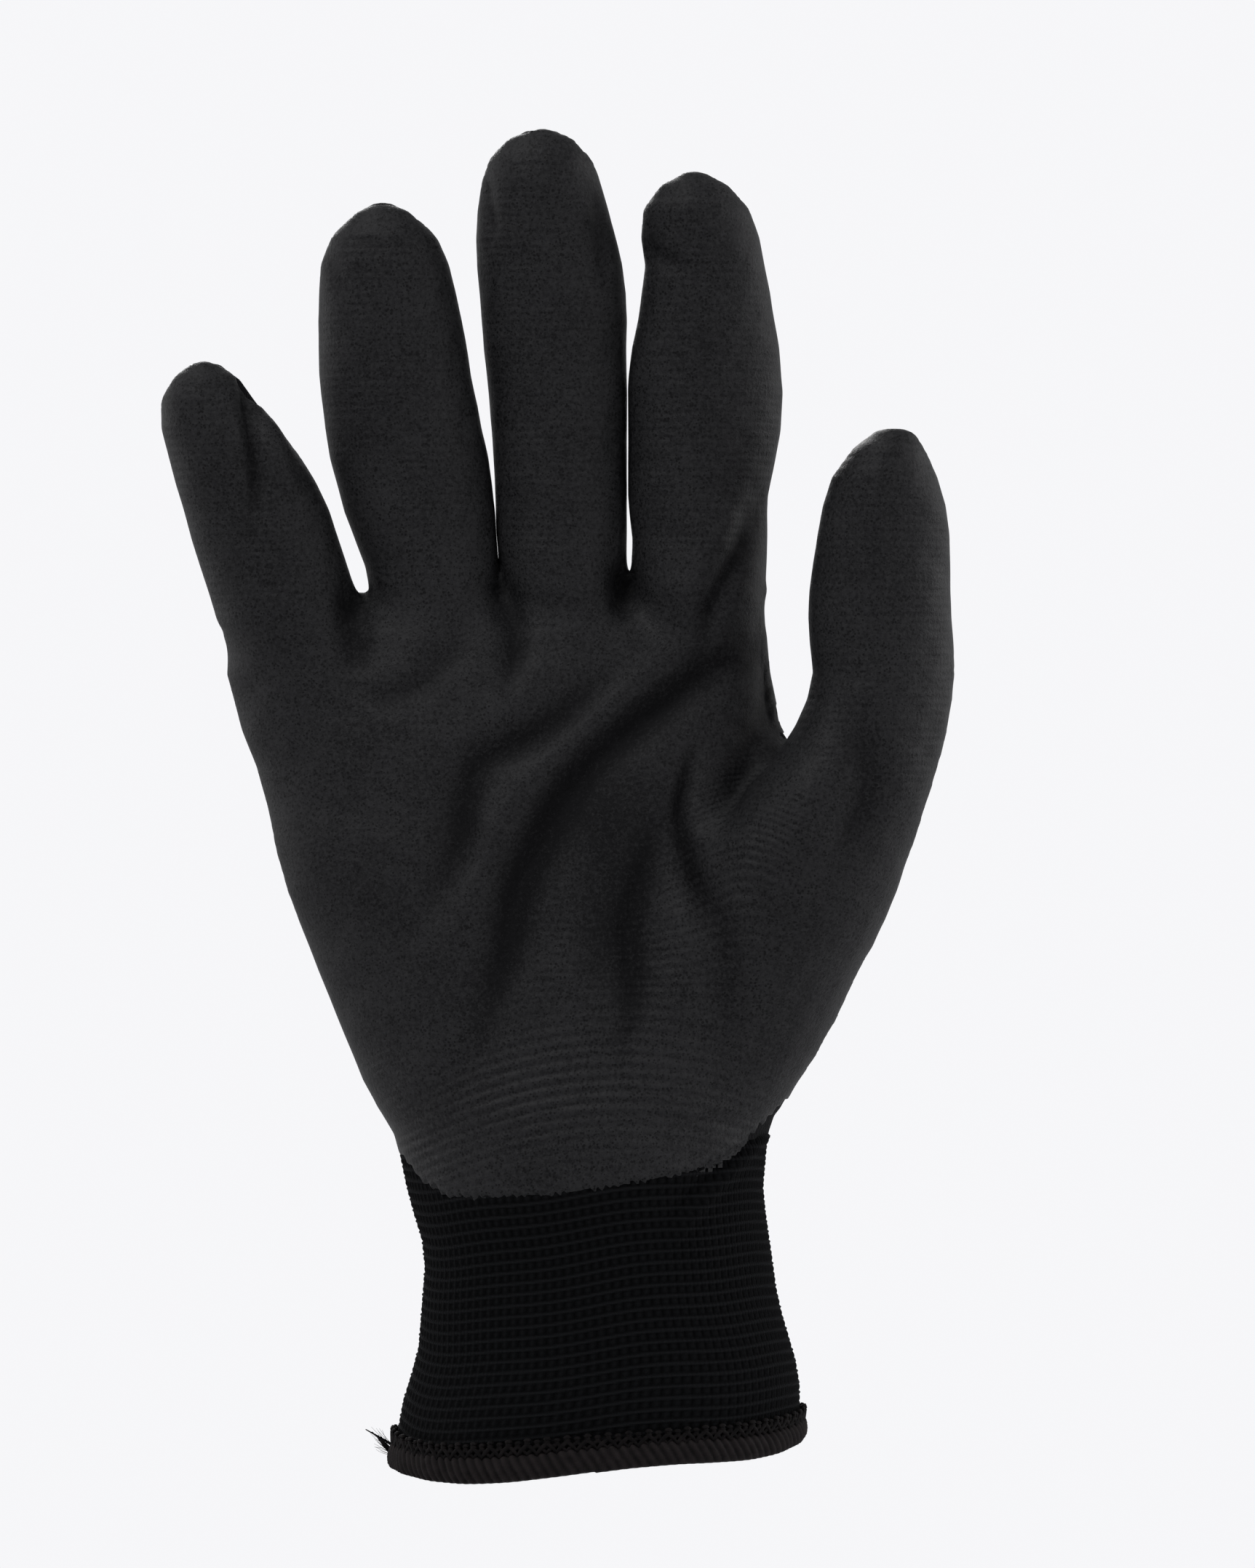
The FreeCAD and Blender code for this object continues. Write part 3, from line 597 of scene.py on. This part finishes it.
def show(name, points, quads, body, slot_name, material, uv=None, normals=None, blend_to=None, **values):
    """Puts a finished surface into the scene: points in millimetres and its finish. Without a blend it is attached to
    the body it moves with; with one it stays where it is, attached to nothing.
    """
    mesh = bpy.data.meshes.new(name)
    mesh.vertices.add(len(points))
    mesh.vertices.foreach_set("co", (points * MM).astype(np.float32).ravel())
    mesh.loops.add(quads.size)
    mesh.loops.foreach_set("vertex_index", quads.astype(np.int32).ravel())
    mesh.polygons.add(len(quads))
    mesh.polygons.foreach_set("loop_start", (np.arange(len(quads)) * 4).astype(np.int32))
    mesh.update(calc_edges=True)
    mesh.polygons.foreach_set("use_smooth", np.ones(len(quads), bool))
    if uv is not None:
        layer = mesh.uv_layers.new(name="cloth")
        layer.data.foreach_set("uv", uv[quads.ravel()].astype(np.float32).ravel())
    for key, value in values.items():
        mesh.attributes.new(key, "FLOAT", "POINT").data.foreach_set("value", value.astype(np.float32))
    mesh.validate()
    if normals is not None:
        mesh.normals_split_custom_set_from_vertices(normals.tolist())
    mesh.materials.append(material)
    piece = bpy.data.objects.new(name, mesh)
    bpy.context.collection.objects.link(piece)
    if blend_to is None:
        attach(piece, body)
    else:
        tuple(blend_to[1])
        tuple(blend_to[2])
        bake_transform(piece)
    return piece


def math_node(material, operation, *values):
    """A Math node; each value is a number or an output socket."""
    made = material.node_tree.nodes.new("ShaderNodeMath")
    made.operation = operation
    for socket, value in zip(made.inputs, values):
        if isinstance(value, (int, float)):
            socket.default_value = value
        else:
            wire(material, value, socket)
    return made.outputs[0]


def named(material, attribute):
    """The value that a piece carries under a name."""
    made = material.node_tree.nodes.new("ShaderNodeAttribute")
    made.attribute_name = attribute
    return made.outputs["Fac"]


def blend_colour(material, share, low, high):
    """A colour between two, by a share from 0 to 1."""
    made = material.node_tree.nodes.new("ShaderNodeMix")
    made.data_type = "RGBA"
    wire(material, share, made.inputs["Factor"])
    for socket, value in ((made.inputs[6], low), (made.inputs[7], high)):
        if isinstance(value, tuple):
            socket.default_value = value
        else:
            wire(material, value, socket)
    return made.outputs[2]


def object_texture(material, kind, per_mm, **inputs):
    """A texture in the object's own space with so many features to the millimetre."""
    made = shader(material, kind, Scale=per_mm / MM, **inputs)
    place = material.node_tree.nodes.new("ShaderNodeTexCoord")
    wire(material, place.outputs["Object"], made.inputs["Vector"])
    return made


def bumped(material, surface, height, strength, distance):
    """Gives a surface shader a bump from a height between 0 and 1; the distance is in millimetres."""
    made = shader(material, "ShaderNodeBump", Strength=strength, Distance=distance * MM)
    wire(material, height, made.inputs["Height"])
    wire(material, made.outputs[0], surface.inputs["Normal"])


def stitch_height(material):
    """Height of plain knit from the cloth's stitch numbers: in each column the legs of the stitches lean
    towards its middle, so the courses run as rows of Vs; 1 on the yarn and 0 in the gaps."""
    place = material.node_tree.nodes.new("ShaderNodeUVMap")
    place.uv_map = "cloth"
    parts = material.node_tree.nodes.new("ShaderNodeSeparateXYZ")
    wire(material, place.outputs[0], parts.inputs[0])
    column, course = parts.outputs[0], parts.outputs[1]
    inside = math_node(material, "FRACT", column)
    from_middle = math_node(material, "ABSOLUTE", math_node(material, "SUBTRACT", inside, 0.5))
    lean = math_node(material, "MULTIPLY_ADD", from_middle, 1.1, course)
    leg = math_node(material, "SINE", math_node(material, "MULTIPLY", lean, 2 * math.pi))
    leg = math_node(material, "MULTIPLY_ADD", leg, 0.5, 0.5)
    side = math_node(material, "SINE", math_node(material, "MULTIPLY", from_middle, 2 * math.pi))
    return math_node(material, "MULTIPLY", math_node(material, "POWER", leg, 0.7), side)


knit, knit_out = blank("fine_knit")
knit_shader = shader(knit, "ShaderNodeBsdfPrincipled", Roughness=0.85, Specular_IOR_Level=0.03)
knit_height = stitch_height(knit)
knit_fuzz = object_texture(knit, "ShaderNodeTexNoise", 2.6, Detail=3.0)
# Painted shade: the yarn is paler and the gaps between its stitches darker, for the shade in the gaps.
knit_paler = math_node(knit, "MULTIPLY", knit_height, 0.6)
knit_tone = math_node(knit, "MULTIPLY_ADD", knit_fuzz.outputs["Fac"], 0.5, knit_paler)
wire(knit, blend_colour(knit, knit_tone, (0.0012, 0.0012, 0.0014, 1), (0.0075, 0.0075, 0.0082, 1)),
     knit_shader.inputs["Base Color"])
knit_relief = math_node(knit, "MULTIPLY_ADD", knit_fuzz.outputs["Fac"], 0.25, knit_height)
bumped(knit, knit_shader, knit_relief, 0.9, 0.35)
wire(knit, knit_shader.outputs[0], knit_out.inputs[0])

UNDER = 0.9
formed = {}
for name, (points, quads) in surfaces.items():
    points, folded = creased(points, normals_of(points, quads))
    normals = normals_of(points, quads)
    middle = points[quads].mean(1)
    if name == "palm":
        kept = middle[:, 2] > 47.5
        spans = [across_of(STALLS[stall], middle[:, 2])[:2] for stall in STALLS]
        nearest = np.argmin([np.abs(middle[:, 0] - centre) / half for centre, half in spans], 0)
        for number, (stall, (centre, half)) in enumerate(zip(STALLS, spans)):
            place, axis, way = CHAINS[stall][0]
            own = (nearest == number) & (np.abs(middle[:, 0] - centre) < half + 1.5)
            kept &= ~((past(middle, place, way) > -BEND_HALF) & own & (middle[:, 2] > place[2] - 22))
    else:
        place, axis, way = CHAINS[name][0]
        kept = past(middle, place, way) > -BEND_HALF
    formed[name] = (points, quads[kept], normals, coated(name, points), folded)


def runs_of(name, quads, middle):
    """The faces of a surface by the hinge they cross: name, faces, body and, for a stall, the next body and the two
    ends of the stretch round the hinge.
    """
    if name == "palm":
        yield "palm", quads, "hand", None
        return
    bodies = ["hand"] + [f"{name}_{part}" for part in PARTS[name]]
    for i, (place, axis, way) in enumerate(CHAINS[name]):
        inside = np.ones(len(quads), bool)
        if i:
            before = (CHAINS[name][i - 1][0] + place) / 2
            inside &= past(middle, before, way) > 0
        if i + 1 < len(CHAINS[name]):
            after_place, _, after_way = CHAINS[name][i + 1]
            inside &= past(middle, (after_place + place) / 2, after_way) <= 0
        start, end = (place - way * BEND_HALF) * MM, (place + way * BEND_HALF) * MM
        yield f"{name}_{PARTS[name][i]}", quads[inside], bodies[i], (bodies[i + 1], tuple(start), tuple(end))


for name, (points, quads, normals, inside_coat, _) in formed.items():
    uv = cloth_place(name, points)
    for run, faces, body, blend_to in runs_of(name, quads, points[quads].mean(1)):
        if name == "palm":
            faces = faces[points[faces].mean(1)[:, 2] > 61.5]
        faces, run_points, run_normals, run_uv, run_coat = trimmed(faces, points, normals, uv, inside_coat)
        outer = faces[run_coat[faces].min(1) < UNDER]
        count = len(run_points)
        rim = rim_edges(faces)
        wall = np.stack([rim[:, 1], rim[:, 0], rim[:, 0] + count, rim[:, 1] + count], 1)
        shell = np.concatenate([outer, faces[:, ::-1] + count, wall])
        both = np.concatenate([run_points, run_points - run_normals * WALL])
        shell, both, both_normals, both_uv = trimmed(
            shell, both, np.concatenate([run_normals, -run_normals]), np.concatenate([run_uv, run_uv])
        )
        piece = show(f"{run}_knit", both, shell, body, "liner", knit, uv=both_uv, normals=both_normals,
                     blend_to=blend_to)
        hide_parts(f"{run}_liner")
        if blend_to:
            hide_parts(f"{run}_crease")

# ---------------------------------------------------------------- coating
# The hand is dipped palm down in foamed rubber. It covers the palm side and the fingertips in a thin matte skin
# with burst pores, follows the stitches below it, and ends in a thin paler rim where it ran out on the knit.
# Its colour is painted darker in the creases and between the stitches that show through, as shade.
coat, coat_out = blank("foam_coating")
coat_shader = shader(coat, "ShaderNodeBsdfPrincipled", Specular_IOR_Level=0.07)
pore_cells = object_texture(coat, "ShaderNodeTexVoronoi", 1.5)
pore_field = object_texture(coat, "ShaderNodeTexNoise", 0.5, Detail=2.0)
pore_size = math_node(coat, "MULTIPLY", pore_field.outputs["Fac"], 0.62)
pore = math_node(coat, "LESS_THAN", pore_cells.outputs["Distance"], math_node(coat, "SUBTRACT", pore_size, 0.03))
grain = object_texture(coat, "ShaderNodeTexNoise", 1.5, Detail=3.0, Roughness=0.8)
cloud = object_texture(coat, "ShaderNodeTexNoise", 0.07, Detail=3.0)
coat_place = coat.node_tree.nodes.new("ShaderNodeUVMap")
coat_place.uv_map = "cloth"
coat_parts = coat.node_tree.nodes.new("ShaderNodeSeparateXYZ")
wire(coat, coat_place.outputs[0], coat_parts.inputs[0])
course_wave = math_node(coat, "SINE", math_node(coat, "MULTIPLY", coat_parts.outputs[1], 2 * math.pi))
column_wave = math_node(coat, "SINE", math_node(coat, "MULTIPLY", coat_parts.outputs[0], 2 * math.pi))
stitches = math_node(coat, "MULTIPLY_ADD", course_wave, 0.46, math_node(coat, "MULTIPLY_ADD", column_wave, 0.06, 0.5))
ribs = math_node(coat, "MULTIPLY", stitches, named(coat, "show"))
rim_share = math_node(coat, "SUBTRACT", 1.0, math_node(coat, "MULTIPLY", named(coat, "inside"), 0.55))
rim_share = math_node(coat, "MAXIMUM", rim_share, 0.0)
grain_tone = math_node(coat, "MULTIPLY", grain.outputs["Fac"], 3.4)
tone = math_node(coat, "MULTIPLY_ADD", cloud.outputs["Fac"], 0.8, grain_tone)
# Painted shade: the colour is darker the deeper the crease (the fold value), for the shade that falls in the creases.
tone = math_node(coat, "SUBTRACT", tone, math_node(coat, "MULTIPLY_ADD", named(coat, "fold"), 0.7, 1.5))
# Painted shade: darker between the stitches that show through the coating, paler on them.
tone = math_node(coat, "MULTIPLY_ADD", ribs, 0.3, tone)
tone = math_node(coat, "ADD", tone, math_node(coat, "MULTIPLY", rim_share, 0.35))
coat_colour = blend_colour(coat, tone, (0.0013, 0.0013, 0.0016, 1), (0.0092, 0.0092, 0.0098, 1))
coat_colour = blend_colour(coat, math_node(coat, "MULTIPLY", pore, 0.9), coat_colour, (0.0006, 0.0006, 0.0008, 1))
wire(coat, coat_colour, coat_shader.inputs["Base Color"])
fold_rough = math_node(coat, "MULTIPLY_ADD", named(coat, "fold"), 0.3, 0.46)
coat_rough = math_node(coat, "MULTIPLY_ADD", cloud.outputs["Fac"], 0.22, fold_rough)
wire(coat, coat_rough, coat_shader.inputs["Roughness"])
coat_relief = math_node(coat, "MULTIPLY_ADD", grain.outputs["Fac"], 0.45, math_node(coat, "MULTIPLY", ribs, 0.9))
coat_relief = math_node(coat, "SUBTRACT", coat_relief, math_node(coat, "MULTIPLY", pore, 0.5))
bumped(coat, coat_shader, coat_relief, 0.85, 0.4)
wire(coat, coat_shader.outputs[0], coat_out.inputs[0])

for name, (points, quads, normals, inside_coat, folded) in formed.items():
    lift = -0.35 + (COAT + 0.35) * step_up(inside_coat, -0.5, 0.5)
    skin = points + normals * lift[:, None]
    skin_normals = normals_of(skin, surfaces[name][1])
    uv = cloth_place(name, points)
    shows = show_through(name, points)
    for run, faces, body, blend_to in runs_of(name, quads, points[quads].mean(1)):
        faces = faces[inside_coat[faces].max(1) > -0.8]
        faces, *held = trimmed(faces, skin, skin_normals, uv, shows, inside_coat, np.clip(-folded / 2.6, 0, 1))
        run_points, run_normals, run_uv, run_shows, run_inside, run_fold = held
        piece = show(f"{run}_coat", run_points, faces, body, "coating", coat, uv=run_uv, normals=run_normals,
                     blend_to=blend_to, show=run_shows, inside=run_inside, fold=run_fold)
        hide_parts(f"{run}_coating")

# ---------------------------------------------------------------- cuff
# A rib-knitted tube with an elastic yarn laid into every course. Each course shows as a thin raised line
# with a row of stitch heads and sunken gaps under it, and the courses sag a little round the wrist.
# The yarn's colour is painted dark in the gaps and paler on the line and heads, as shade and light.
CUFF = (
    (-6, -37.9, 36.6, 24.4), (2, -38.0, 36.8, 24.2), (7, -37.7, 37.0, 23.9), (12, -36.7, 37.1, 23.4),
    (17, -35.1, 36.5, 22.7), (22, -33.8, 35.2, 22.1), (27, -33.4, 33.7, 21.7), (32, -33.0, 32.4, 21.3),
    (37, -32.6, 31.6, 20.9), (42, -33.1, 31.0, 20.5), (47, -34.6, 30.6, 20.2), (52, -35.9, 30.4, 20.0),
    (57, -36.9, 30.9, 19.9), (62, -38.0, 31.2, 19.9), (68, -41.2, 33.6, 19.9),
)
MOUTH_TILT = math.radians(5.0)
COURSE = 2.03
WALES = 114
WALE_STEPS = 4
COURSE_STEPS = 6
CUFF_BOTTOM, CUFF_TOP = 3.0, 65.0


def cuff_shape(turn, height, out):
    """A point of the cuff: an oval whose width follows the height, moved outwards by out.
    turn runs from 0 at the palm side through the thumb side. The mouth tilts and its two sides are lifted;
    both fade towards the wrist."""
    rows = np.array(CUFF, float)
    left, right, deep = (np.interp(height, rows[:, 0], rows[:, i]) for i in (1, 2, 3))
    across, along = np.sin(turn), -np.cos(turn)
    half = (right - left) / 2
    normal = np.stack([across / half, along / deep], -1)
    normal /= np.linalg.norm(normal, axis=-1, keepdims=True)
    x = (left + right) / 2 + half * across + normal[..., 0] * out
    y = deep * along + normal[..., 1] * out
    lifted = across**6 * (2.6 - across) + 1.9 * (1 - across**2)
    tilt = np.clip(1 - height / 50, 0, 1) * (x * math.tan(MOUTH_TILT) + lifted)
    return np.stack([x, y, height + tilt], -1)


def grid_faces(rows, columns, closed=True):
    """Quads of a grid of rows by columns, joined round if closed; they face outwards when rows rise."""
    row, column = np.meshgrid(np.arange(rows - 1), np.arange(columns if closed else columns - 1), indexing="ij")
    here, right = row * columns + column, row * columns + (column + 1) % columns
    return np.stack([here, right, right + columns, here + columns], -1).reshape(-1, 4)


rib, rib_out = blank("rib_knit")
rib_shader = shader(rib, "ShaderNodeBsdfPrincipled", Roughness=0.88, Specular_IOR_Level=0.02)
rib_place = rib.node_tree.nodes.new("ShaderNodeUVMap")
rib_place.uv_map = "cloth"
rib_parts = rib.node_tree.nodes.new("ShaderNodeSeparateXYZ")
wire(rib, rib_place.outputs[0], rib_parts.inputs[0])
rib_fuzz = object_texture(rib, "ShaderNodeTexNoise", 3.0, Detail=3.0)
rib_raised = named(rib, "raised")
strand = math_node(rib, "SINE", math_node(rib, "MULTIPLY", rib_parts.outputs[0], 4 * math.pi))
# Painted shade: the yarn is darker in the gaps between stitches and paler on the raised line and heads.
rib_tone = math_node(rib, "MULTIPLY_ADD", rib_fuzz.outputs["Fac"], 0.2, math_node(rib, "MULTIPLY", rib_raised, 0.9))
wire(rib, blend_colour(rib, rib_tone, (0.00005, 0.00005, 0.0001, 1), (0.0056, 0.0058, 0.0064, 1)),
     rib_shader.inputs["Base Color"])
rib_relief = math_node(rib, "MULTIPLY_ADD", strand, 0.2, math_node(rib, "MULTIPLY", rib_fuzz.outputs["Fac"], 0.6))
bumped(rib, rib_shader, rib_relief, 0.8, 0.25)
wire(rib, rib_shader.outputs[0], rib_out.inputs[0])

columns = WALES * WALE_STEPS
rows = int((CUFF_TOP - CUFF_BOTTOM) / COURSE * COURSE_STEPS)
turn = math.pi + np.arange(columns) * 2 * math.pi / columns
turn, height = np.meshgrid(turn, np.linspace(CUFF_BOTTOM, CUFF_TOP, rows), indexing="xy")
sag = (1.2 * np.cos(turn) + 3.4 * np.sin(turn)) * np.clip(height / 40, 0, 1)
sag = sag + 0.35 * np.sin(3 * turn + 0.6) + 0.25 * np.sin(7 * turn)
course = (height - sag) / COURSE
wale = turn / (2 * math.pi) * WALES
in_course = course - np.floor(course)
line = bell(in_course - 0.82, 0.13) + bell(in_course + 0.18, 0.13)
head = np.sin(math.pi * np.clip(in_course / 0.7, 0, 1)) * (0.5 + 0.5 * np.cos(2 * math.pi * wale))
soft_fold = 0.9 * np.sin(2 * turn + height / 9) * bell(height - 34, 16) + 0.5 * np.sin(5 * turn - height / 6)
off_fold = (height - 26.7 - 35.8 * np.sin(turn)) / 1.53
diagonal = (0.8 * bell(off_fold, 1.2) - 1.1 * bell(off_fold - 2.6, 1.8)) * (np.cos(turn) > 0)
diagonal *= step_up(np.sin(turn), 0.3, 0.6)
relief = 0.38 * line + 0.30 * head - 0.38 + 0.35 * soft_fold + diagonal
edge = np.clip((height - CUFF_BOTTOM) / 2, 0, 1) * np.clip((CUFF_TOP - height) / 3, 0, 1)
palm_line, heights = np.array(DIP_LINE).T
below = cuff_shape(turn, height, 0 * turn)
dipped = step_up(height - np.interp(below[..., 0], palm_line, heights), -0.6, 0.8) * (below[..., 1] < 2.5)
dipped = np.maximum(dipped, step_up(height, 61.4, 62.6))
relief = relief * edge * (1 - dipped) - 0.3 * (1 - edge) - 0.8 * dipped
outer = cuff_shape(turn, height, relief).reshape(-1, 3)
# How far the yarn stands out, which the rib colour turns into painted shade in the gaps.
raised = np.clip(0.8 * line + 0.42 * head, 0, 1).ravel()
outer_uv = np.stack([wale, course], -1).reshape(-1, 2)
inner_columns = columns // 4
turn_in, height_in = np.meshgrid(
    np.arange(inner_columns) * 2 * math.pi / inner_columns, np.linspace(CUFF_BOTTOM, CUFF_TOP, 40), indexing="xy"
)
inner = cuff_shape(turn_in, height_in, -1.6).reshape(-1, 3)
points = np.concatenate([outer, inner])
quads = np.concatenate([
    grid_faces(rows, columns), grid_faces(40, inner_columns)[:, ::-1] + len(outer),
])
uv = np.concatenate([outer_uv, np.stack([turn_in * 20, height_in / 2], -1).reshape(-1, 2)])
raised = np.concatenate([raised, np.full(len(inner), 0.3)])
cuff_piece = show("cuff_knit", points, quads, "hand", "cuff_knit", rib, uv=uv, raised=raised)
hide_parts("cuff", "cuff_elastic")

# ---------------------------------------------------------------- hem
# The raw edge is bound with an overlock stitch: slanted threads lie close together over the rolled edge,
# and a row of loops stands along the top of them.
yarn, yarn_out = blank("overlock_thread")
yarn_shader = shader(yarn, "ShaderNodeBsdfPrincipled", Roughness=0.75, Specular_IOR_Level=0.04)
yarn_fuzz = object_texture(yarn, "ShaderNodeTexNoise", 4.0, Detail=2.0)
yarn_tone = object_texture(yarn, "ShaderNodeTexNoise", 0.6, Detail=2.0)
# Painted light and shade: the thread is paler where the wound threads stand out and darker between them.
yarn_share = math_node(yarn, "MULTIPLY_ADD", named(yarn, "raised"), 0.7, yarn_tone.outputs["Fac"])
yarn_share = math_node(yarn, "SUBTRACT", yarn_share, 0.35)
wire(yarn, blend_colour(yarn, yarn_share, (0.0010, 0.0008, 0.0009, 1), (0.0082, 0.0066, 0.0068, 1)),
     yarn_shader.inputs["Base Color"])
bumped(yarn, yarn_shader, yarn_fuzz.outputs["Fac"], 0.5, 0.12)
wire(yarn, yarn_shader.outputs[0], yarn_out.inputs[0])
HEM_HEIGHT = 4.6
HEM_LOOPS = 64
hem_columns = HEM_LOOPS * 10
profile = np.array([
    (5.2, 0.15), (4.6, 0.75), (3.6, 1.15), (2.4, 1.3), (1.2, 1.2), (0.3, 0.75), (0.0, 0.0), (0.0, -0.9),
    (0.4, -1.7), (1.4, -2.1), (3.0, -2.2), (5.0, -2.0), (6.2, -1.6),
])
along = np.linspace(0, len(profile) - 1, 34)
profile = np.stack([np.interp(along, np.arange(len(profile)), profile[:, i]) for i in (0, 1)], 1)
turn, level = np.meshgrid(np.arange(hem_columns) * 2 * math.pi / hem_columns, np.arange(len(profile)), indexing="xy")
up, out = profile[level, 0], profile[level, 1]
slant = turn / (2 * math.pi) * HEM_LOOPS
wound = np.cos(2 * math.pi * (slant * 2 + up * 0.35))
wrap = 0.2 * wound + 0.12 * np.sin(2 * math.pi * slant * 0.37 + 1)
points = cuff_shape(turn, up + 0.3 * np.sin(slant * 0.5), out + wrap).reshape(-1, 3)
uv = np.stack([slant * 3.1, up], -1).reshape(-1, 2)
# raised follows the wound threads: 1 on their crests and 0 between them, for the painted light and shade.
hem_piece = show("hem_band", points, grid_faces(len(profile), hem_columns)[:, ::-1], "hand", "hem_thread", yarn,
                 uv=uv, raised=0.5 + 0.5 * wound.ravel())
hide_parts("cuff_hem")


def thread(path, radius, sides=6, closed=True):
    """A round thread along a path: rings square to the path's run, joined up."""
    ahead = np.roll(path, -1, 0) - np.roll(path, 1, 0)
    if not closed:
        ahead[0], ahead[-1] = path[1] - path[0], path[-1] - path[-2]
    ahead /= np.linalg.norm(ahead, axis=1, keepdims=True)
    side = np.cross(ahead, (0.13, 0.05, 0.99))
    side /= np.linalg.norm(side, axis=1, keepdims=True)
    other = np.cross(ahead, side)
    angle = np.arange(sides) * 2 * math.pi / sides
    radius = np.broadcast_to(np.asarray(radius, float), len(path))[:, None, None]
    ring = path[:, None] + radius * (
        np.cos(angle)[None, :, None] * side[:, None] + np.sin(angle)[None, :, None] * other[:, None]
    )
    points = ring.reshape(-1, 3)
    quads = grid_faces(len(path), sides)
    if closed:
        last = (len(path) - 1) * sides + np.arange(sides)
        first = np.arange(sides)
        quads = np.concatenate([quads, np.stack([last, np.roll(last, -1), np.roll(first, -1), first], 1)])
    return points, quads


def joined(parts):
    """Several surfaces as one: their points in a row, with the faces renumbered."""
    start, points, quads = 0, [], []
    for p, q in parts:
        points.append(p)
        quads.append(q + start)
        start += len(p)
    return np.concatenate(points), np.concatenate(quads)


LOOP_STEPS = 14
loops = []
for phase, rise, stand in ((0.0, 2.6, 0.65), (0.5, 2.2, 0.45)):
    step = np.arange(HEM_LOOPS * LOOP_STEPS) / LOOP_STEPS
    arch = np.abs(np.sin(math.pi * (step + phase))) ** 0.7
    lean = 0.32 * np.sin(2 * math.pi * (step + phase))
    turn = (step + lean) * 2 * math.pi / HEM_LOOPS
    loops.append(thread(cuff_shape(turn, HEM_HEIGHT + rise * arch, stand + 0.2 * arch), 0.42))
points, quads = joined(loops)
show("hem_loops", points, quads, "hand", "hem_thread", yarn)

# ---------------------------------------------------------------- thread tail
# The overlock's chain was snipped at the little-finger side, and its ends fray into loose filaments.
random = np.random.default_rng(7)
strands = []
start = cuff_shape(np.array(-math.pi / 2), np.array(2.6), np.array(0.6))
for i in range(26):
    length = random.uniform(2.6, 5.2) if i > 3 else 5.6
    radius = 0.06 if i > 3 else 0.34
    step = np.linspace(0, 1, 9)[:, None]
    way = np.array([-0.62, random.uniform(-0.35, 0.35), random.uniform(-0.15, 0.75)])
    curl = np.array([random.uniform(-0.5, 0.3), random.uniform(-0.5, 0.5), random.uniform(-0.2, 0.8)])
    path = start + np.array([0, random.uniform(-0.6, 0.6), random.uniform(-0.6, 1.6)]) + length * (
        way * step + curl * step**2 * 0.5
    )
    strands.append(thread(path, radius * (1 - 0.7 * step[:, 0]), closed=False))
points, quads = joined(strands)
tail_piece = show("thread_tail_ends", points, quads, "hand", "hem_thread", yarn)
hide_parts("thread_tail")
